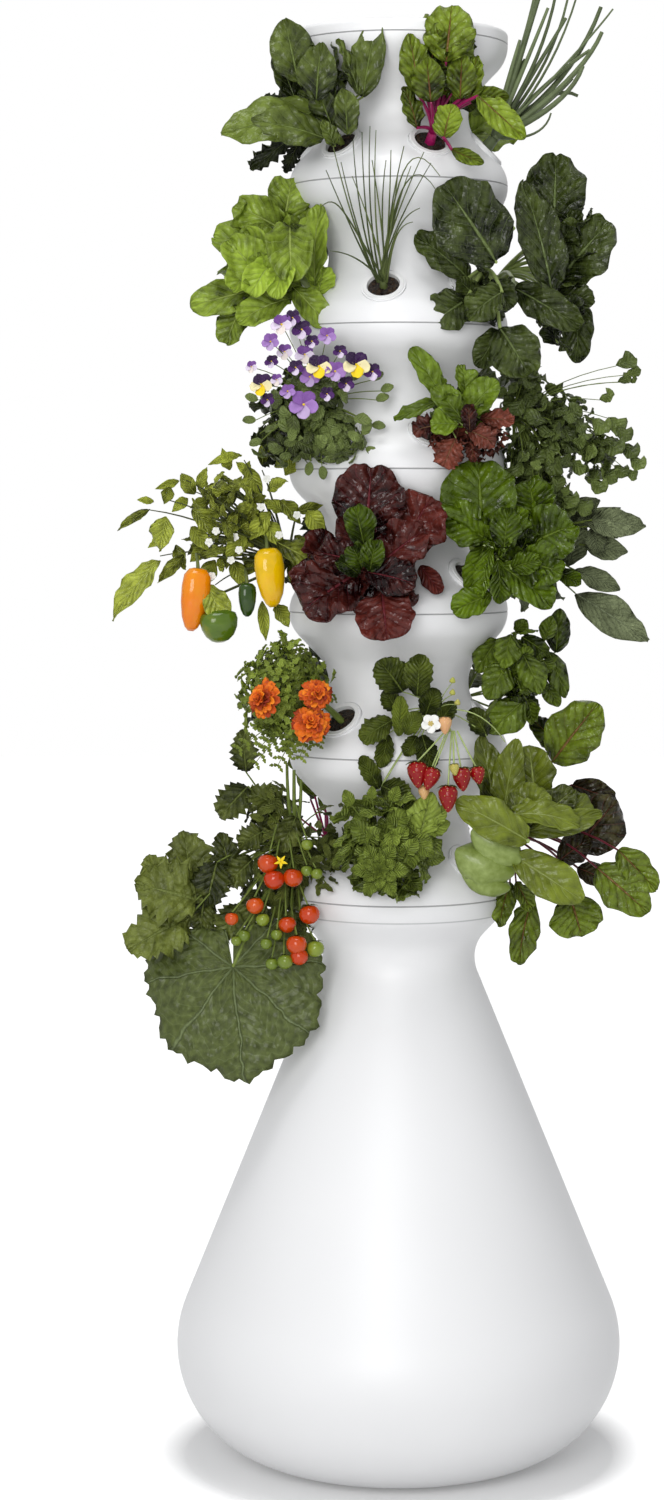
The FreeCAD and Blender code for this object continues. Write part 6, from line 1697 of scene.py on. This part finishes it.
def strawberry():
    plant = Plant(5, 5, "strawberry", crown=(0.020, 0.0, 0.014))
    strawberry_leaves(plant)
    fruits = Fruits()
    seeds = Spots()
    sepals = Spots()
    for px, py, length, wide, lean, near, shade in [
            (445, 717, 18, 14, 0.0, 0.190, 0.42), (417, 762, 27, 21, 0.05, 0.185, 0.92),
            (434, 768, 24, 18, -0.35, 0.190, 0.90), (461, 768, 24, 19, 0.1, 0.185, 0.95),
            (476, 767, 18, 16, 0.2, 0.175, 0.88), (448, 786, 27, 20, 0.0, 0.195, 0.95),
            (454, 764, 12, 10, 0.1, 0.195, 0.10), (424, 786, 14, 12, 0.0, 0.180, 0.35)]:
        top = at(px, py, near)
        down = Vector((lean, -0.25, -1)).normalized()
        long, fat = pixel_length(length, near), pixel_length(wide, near) / 2
        fruits.add(top, down, long, fat, BERRY_SHAPE, shade, 0, 0.0, 20, shade * 1.04)
        side = down.orthogonal().normalized()
        over = down.cross(side)
        for ring in range(1, 7):
            along, reach = BERRY_SHAPE[ring + 1] if ring < 6 else (0.9, 0.32)
            for step in range(max(int(9 * reach), 3)):
                turn = 2 * math.pi * (step + 0.5 * (ring % 2)) / max(int(9 * reach), 3)
                way = side * math.cos(turn) + over * math.sin(turn)
                seeds.add(top + down * (long * along) + way * (fat * reach * 0.985), down, way,
                          0.0017, 0.5)
        for step in range(7):
            way = 2 * math.pi * step / 7
            ahead = side * math.cos(way) + over * math.sin(way) + down * 0.15
            sepals.add(top + down * (long * 0.03), ahead, -down, fat * 1.15, 0.6)
        start = at(450 + (px - 440) * 0.2, 731, 0.168)
        plant.stalks.add([start, start.lerp(top, 0.5) - Vector((0, 0.012, 0)), top],
                         0.0011, 0.0011, 0.8, 8)
    petals = Spots()
    flower(petals, at(431, 724, 0.196), TOWARDS_CAMERA, pixel_length(10, 0.196), [1.0] * 5)
    plant.keep(petals, "_petals", PETAL, WHITE_PETAL)
    fruits.add(at(431, 724, 0.194), TOWARDS_CAMERA, 0.006, 0.0045, BERRY_SHAPE, 0.15)
    for px, py in [(452, 683), (452, 695), (457, 705)]:
        fruits.add(at(px, py, 0.172), Vector((0.2, 0, 1)), 0.008, 0.0042, BERRY_SHAPE, 0.05)
        plant.stalk_to(at(px, py, 0.172), 0.0008, 0.8)
    plant.stalks.add([plant.crown, at(478, 700, 0.17), at(505, 742, 0.13)], 0.0010, 0.0007, 0.8, 10)
    plant.stalks.add([plant.crown, at(450, 731, 0.168)], 0.0018, 0.0014, 0.8, 6)
    plant.keep(fruits, "_fruits", BERRY_SKIN)
    plant.keep(seeds, "_seeds", PIP, SEED_SKIN)
    plant.keep(sepals, "_sepals", SEPAL, STRAWBERRY_LEAF)
    plant.done(STRAWBERRY_LEAF, PALE_STALK)


def mint(tier, number, middle=None):
    plant = Plant(tier, number, "mint", crown=(0.020, 0.0, 0.016))
    leaflets = Spots()
    centre = middle or plant.port.place(0.038, 0.0, 0.030)
    plant.bush(leaflets, centre, (0.034, 0.060, 0.062), 180, 0.034, 24, 0.0, 0.5, 0.6, 0.55)
    if middle:
        for ring, (reach, size) in enumerate([(0.012, 0.026), (0.006, 0.020), (0.002, 0.013)]):
            for step in range(6):
                turn = 2 * math.pi * (step + 0.5 * ring) / 6
                way = Vector((math.cos(turn), -0.15 - 0.3 * ring, math.sin(turn)))
                leaflets.add(at(380, 870, 0.205) + way * reach, way, TOWARDS_CAMERA, size,
                             0.7 + 0.1 * ring)
        for hx, hy, tx, ty in [
                (420, 837, 431, 792), (428, 826, 446, 806), (426, 832, 450, 822),
                (352, 806, 344, 790), (372, 800, 372, 786), (392, 802, 398, 786)]:
            heel, tip = at(hx, hy, 0.18), at(tx, ty, 0.18)
            leaflets.add(heel, tip - heel, TOWARDS_CAMERA, (tip - heel).length, 0.9)
            plant.stalk_to(heel, 0.0011, 0.6)
    plant.keep(leaflets, "_leaves", MINT_LEAFLET, MINT_LEAF)
    plant.done(MINT_LEAF, GREEN_STALK)


def palmate_finish():
    """The large squash leaf: pale veins that fan out from its stalk and branch."""
    finish = Finish("squash_leaf")
    place = finish.node("ShaderNodeUVMap", uv_map="leaf").outputs[0]
    split = finish.node("ShaderNodeSeparateXYZ", {0: place})
    out, turn = split.outputs[0], split.outputs[1]
    spread = finish.sum("MULTIPLY", turn, 8.0)
    wander = finish.sum("MULTIPLY_ADD", finish.noise(30.0, 2.0), 0.25, -0.125)
    fan = finish.sum("PINGPONG", finish.sum("ADD", spread, wander), 0.5)
    main = finish.between(finish.sum("MULTIPLY", fan, out), 0.006, 0.022, 1.0, 0.0)
    branch_place = finish.sum("SUBTRACT", finish.sum("MULTIPLY", out, 7.0),
                              finish.sum("MULTIPLY", fan, 3.4))
    branch = finish.sum("PINGPONG", finish.sum("ADD", branch_place, wander), 0.5)
    side = finish.between(branch, 0.02, 0.06, 0.32, 0.0)
    drawn = finish.sum("MAXIMUM", main, side)
    mottle = finish.sum("MULTIPLY_ADD", branch, -0.16, finish.noise(110.0, 4.0))
    green = finish.blend(finish.between(mottle, 0.15, 0.7), (0.028, 0.038, 0.006, 1),
                         (0.112, 0.142, 0.036, 1))
    finish.colour(finish.blend(finish.sum("MULTIPLY", drawn, 0.36), green, (0.26, 0.32, 0.16, 1)))
    puckers = finish.sum("MULTIPLY", finish.cells(110.0), 0.9)
    finish.bump(finish.sum("SUBTRACT", branch, finish.sum("ADD", main, puckers)), 0.003, 0.9)
    return finish.set(roughness=0.36, specular_ior_level=0.24)


SQUASH_EDGE = [(0, 1.0), (22, 0.90), (48, 0.90), (70, 0.79), (96, 0.80), (118, 0.66), (140, 0.50),
               (165, 0.32), (180, 0.14)]


def squash_outline(turn):
    """How far the large leaf reaches at a turn from its tip, with a finely toothed edge."""
    degrees = abs(math.degrees(turn))
    for (low, start), (high, end) in zip(SQUASH_EDGE, SQUASH_EDGE[1:]):
        if degrees <= high:
            share = (degrees - low) / (high - low)
            break
    base = start + (end - start) * (0.5 - 0.5 * math.cos(math.pi * share))
    return base + 0.020 * math.sin(31 * turn) + 0.014 * math.sin(53 * turn)


def tomato():
    plant = Plant(6, 3, "tomato", crown=(0.030, 0.0, 0.020), stem=0.006)
    leaflets = Spots()
    plant.bush(leaflets, at(286, 880, 0.050), (0.060, 0.056, 0.090), 230, 0.030, 24, 0.4, 0.5, 0.3)
    plant.bush(leaflets, at(268, 815, 0.040), (0.030, 0.042, 0.050), 60, 0.030, 10, 0.4, 0.55, 0.3)
    plant.bush(leaflets, at(330, 850, 0.110), (0.030, 0.034, 0.060), 50, 0.022, 10, 0.3, 0.5, 0.3)
    plant.keep(leaflets, "_leaflets", TOMATO_LEAFLET, TOMATO_LEAF)
    tomato_form = LeafForm(0.85, 0.6, teeth=9, tooth=0.28, wave=0.25, waves=3, cup=0.2, quilt=0.16,
                           veins=6, along=20, across=10, tip=0.04)
    plant.photo_leaves(tomato_form, [
        (196, 900, 136, 884, 74, 90, 10, 0, 0.2, 0.65), (190, 916, 128, 950, 64, 95, 10, 0, 0.2, 0.70),
        (190, 890, 184, 830, 56, 60, 0, 15, 0.15, 0.50), (217, 862, 206, 907, 44, 80, 0, 0, 0.15, 0.1),
        (176, 900, 146, 856, 44, 80, 0, 0, 0.15, 0.60),
        (232, 876, 220, 832, 34, 70, 0, 0, 0.15, 0.2), (204, 902, 199, 935, 38, 75, 0, 0, 0.2, 0.3),
        (248, 786, 219, 818, 38, 60, 0, 0, 0.15, 0.35), (246, 772, 242, 729, 30, 40, 0, 0, 0.1, 0.3),
        (282, 807, 246, 791, 35, 60, 0, 0, 0.15, 0.4), (296, 817, 281, 852, 33, 95, 0, 0, 0.15, 0.35),
        (252, 860, 226, 886, 34, 80, 0, 0, 0.2, 0.3), (262, 832, 238, 846, 30, 70, 0, 0, 0.2, 0.35),
        (215, 905, 186, 920, 40, 70, 0, 0, 0.2, 0.5), (240, 905, 222, 940, 36, 85, 0, 0, 0.2, 0.35),
        (258, 890, 246, 925, 30, 90, 0, 0, 0.2, 0.4)], stalk=0.0017, stalk_shade=0.4)
    for px, py in [(287, 765), (294, 770), (301, 780)]:
        plant.stalks.add([plant.crown, at(px, py + 40, 0.07), at(px, py, 0.06)], 0.0032, 0.0022,
                         0.5, 8)
    fruits = Fruits()
    sepals = Spots()
    for px, py, radius, shade in [
            (269, 864, 10.5, 0.9), (274, 880, 10.5, 1.0), (294, 878, 10, 0.9), (232, 919, 7, 0.85),
            (308, 915, 10.5, 0.95), (297, 945, 10.5, 0.9), (299, 957, 9, 0.95), (284, 962, 8, 0.15),
            (315, 949, 9, 0.25), (272, 964, 6.5, 0.1), (307, 845, 6, 0.2), (307, 871, 6, 0.15),
            (316, 874, 6, 0.2), (277, 935, 6, 0.15), (245, 936, 6.5, 0.1), (236, 941, 5.5, 0.2),
            (267, 944, 6, 0.1), (254, 906, 9, 0.85), (286, 925, 9, 0.9), (262, 920, 7, 0.3)]:
        near = plant.dice.uniform(0.125, 0.140)
        size = pixel_length(radius, near)
        top = at(px, py - radius * 0.9, near)
        down = Vector((plant.dice.uniform(-0.2, 0.2), -0.2, -1)).normalized()
        fruits.add(top, down, size * 1.8, size, TOMATO_SHAPE, shade)
        side = down.orthogonal().normalized()
        over = down.cross(side)
        for step in range(5):
            way = 2 * math.pi * step / 5
            sepals.add(top + down * (size * 0.05), side * math.cos(way) + over * math.sin(way)
                       + down * 0.1, -down, size * 0.95, 0.5)
        root = at(px - (px - 285) * 0.5, py - 40, 0.10)
        plant.stalks.add([root, root.lerp(top, 0.5) - Vector((0, 0.012, 0)), top], 0.0012, 0.0012,
                         0.5, 7)
        plant.stalks.add([plant.crown, root], 0.0016, 0.0012, 0.4, 6)
    petals = Spots()
    flower(petals, at(281, 862, 0.15), TOWARDS_CAMERA, 0.010, [1.0] * 5, 0.3)
    plant.keep(petals, "_petals", SEPAL, PETAL_SKIN)
    plant.keep(fruits, "_fruits", TOMATO_SKIN)
    plant.keep(sepals, "_sepals", SEPAL, TOMATO_LEAF)
    big = Sheets()
    middle = at(233, 967, 0.105)
    low = at(243, 1082, 0.135)
    big.fan(middle, low - middle, TOWARDS_CAMERA + Vector((-0.15, 0, 0.1)), (low - middle).length,
            squash_outline, rings=10, spokes=132, dish=-0.10, ruffle=0.035, waves=4)
    plant.keep(big, "_squash_leaf", palmate_finish())
    plant.stalks.add([plant.crown, at(262, 900, 0.09), middle], 0.0030, 0.0024, 0.6, 9)
    plant.done(TOMATO_LEAF, GREEN_STALK)


def bark_chips():
    """Loose bark and fibre on the face of each growing plug."""
    for tier in range(1, 7):
        chips = Spots()
        for number in range(6):
            port = Port(tier, number)
            dice = random.Random(tier * 10 + number)
            across = port.axis.cross(port.side)
            for _ in range(46):
                reach = 0.0195 * math.sqrt(dice.random())
                turn = dice.uniform(0, 2 * math.pi)
                place = port.foot + port.axis * dice.uniform(-0.0002, 0.0012) \
                    + port.side * (reach * math.cos(turn)) + across * (reach * math.sin(turn))
                lie = Vector([dice.uniform(-1, 1) for _ in range(3)])
                ahead = lie - port.axis * (lie.dot(port.axis) * 0.75)
                chips.add(place, ahead, port.axis, dice.uniform(0.003, 0.0075), dice.random())
        piece = chips.piece("tier_%d_bark_chips" % tier, CHIP, BARK_SKIN)
        finish_piece(piece, "tier_%d" % tier)


for plant_one in (violas, coriander, pepper, marigold, strawberry):
    plant_one()
mint(6, 4, at(388, 846, 0.160))
mint(6, 1)
tomato()
bark_chips()
spinach()
chard()
spring_onion()
dark_kale(1, 3, [(300, 132, 251, 170, 24, -10, 0, 0, 0.1, 0.2),
                 (300, 140, 285, 173, 18, 0, 0, 0, 0.1, 0.1),
                 (305, 140, 302, 170, 14, 0, 0, 0, 0.1, 0.1),
                 (292, 112, 264, 96, 18, -10, 0, 0, 0.1, 0.3)])
dark_kale(1, 2, [])
dark_kale(3, 3, [(292, 430, 251, 440, 24, 10, 0, 0, 0.1, 0.3),
                 (288, 440, 262, 466, 22, 20, 0, 0, 0.1, 0.2),
                 (290, 435, 276, 468, 18, 20, 0, 0, 0.1, 0.1)])
dark_kale(4, 2, [])
dark_kale(5, 3, [])
for plant_one in (butterhead, chives, front_tatsoi, side_tatsoi, small_lettuce, red_lettuce,
                  romaine, sage, basil, bok_choy, beet, back_plants):
    plant_one()
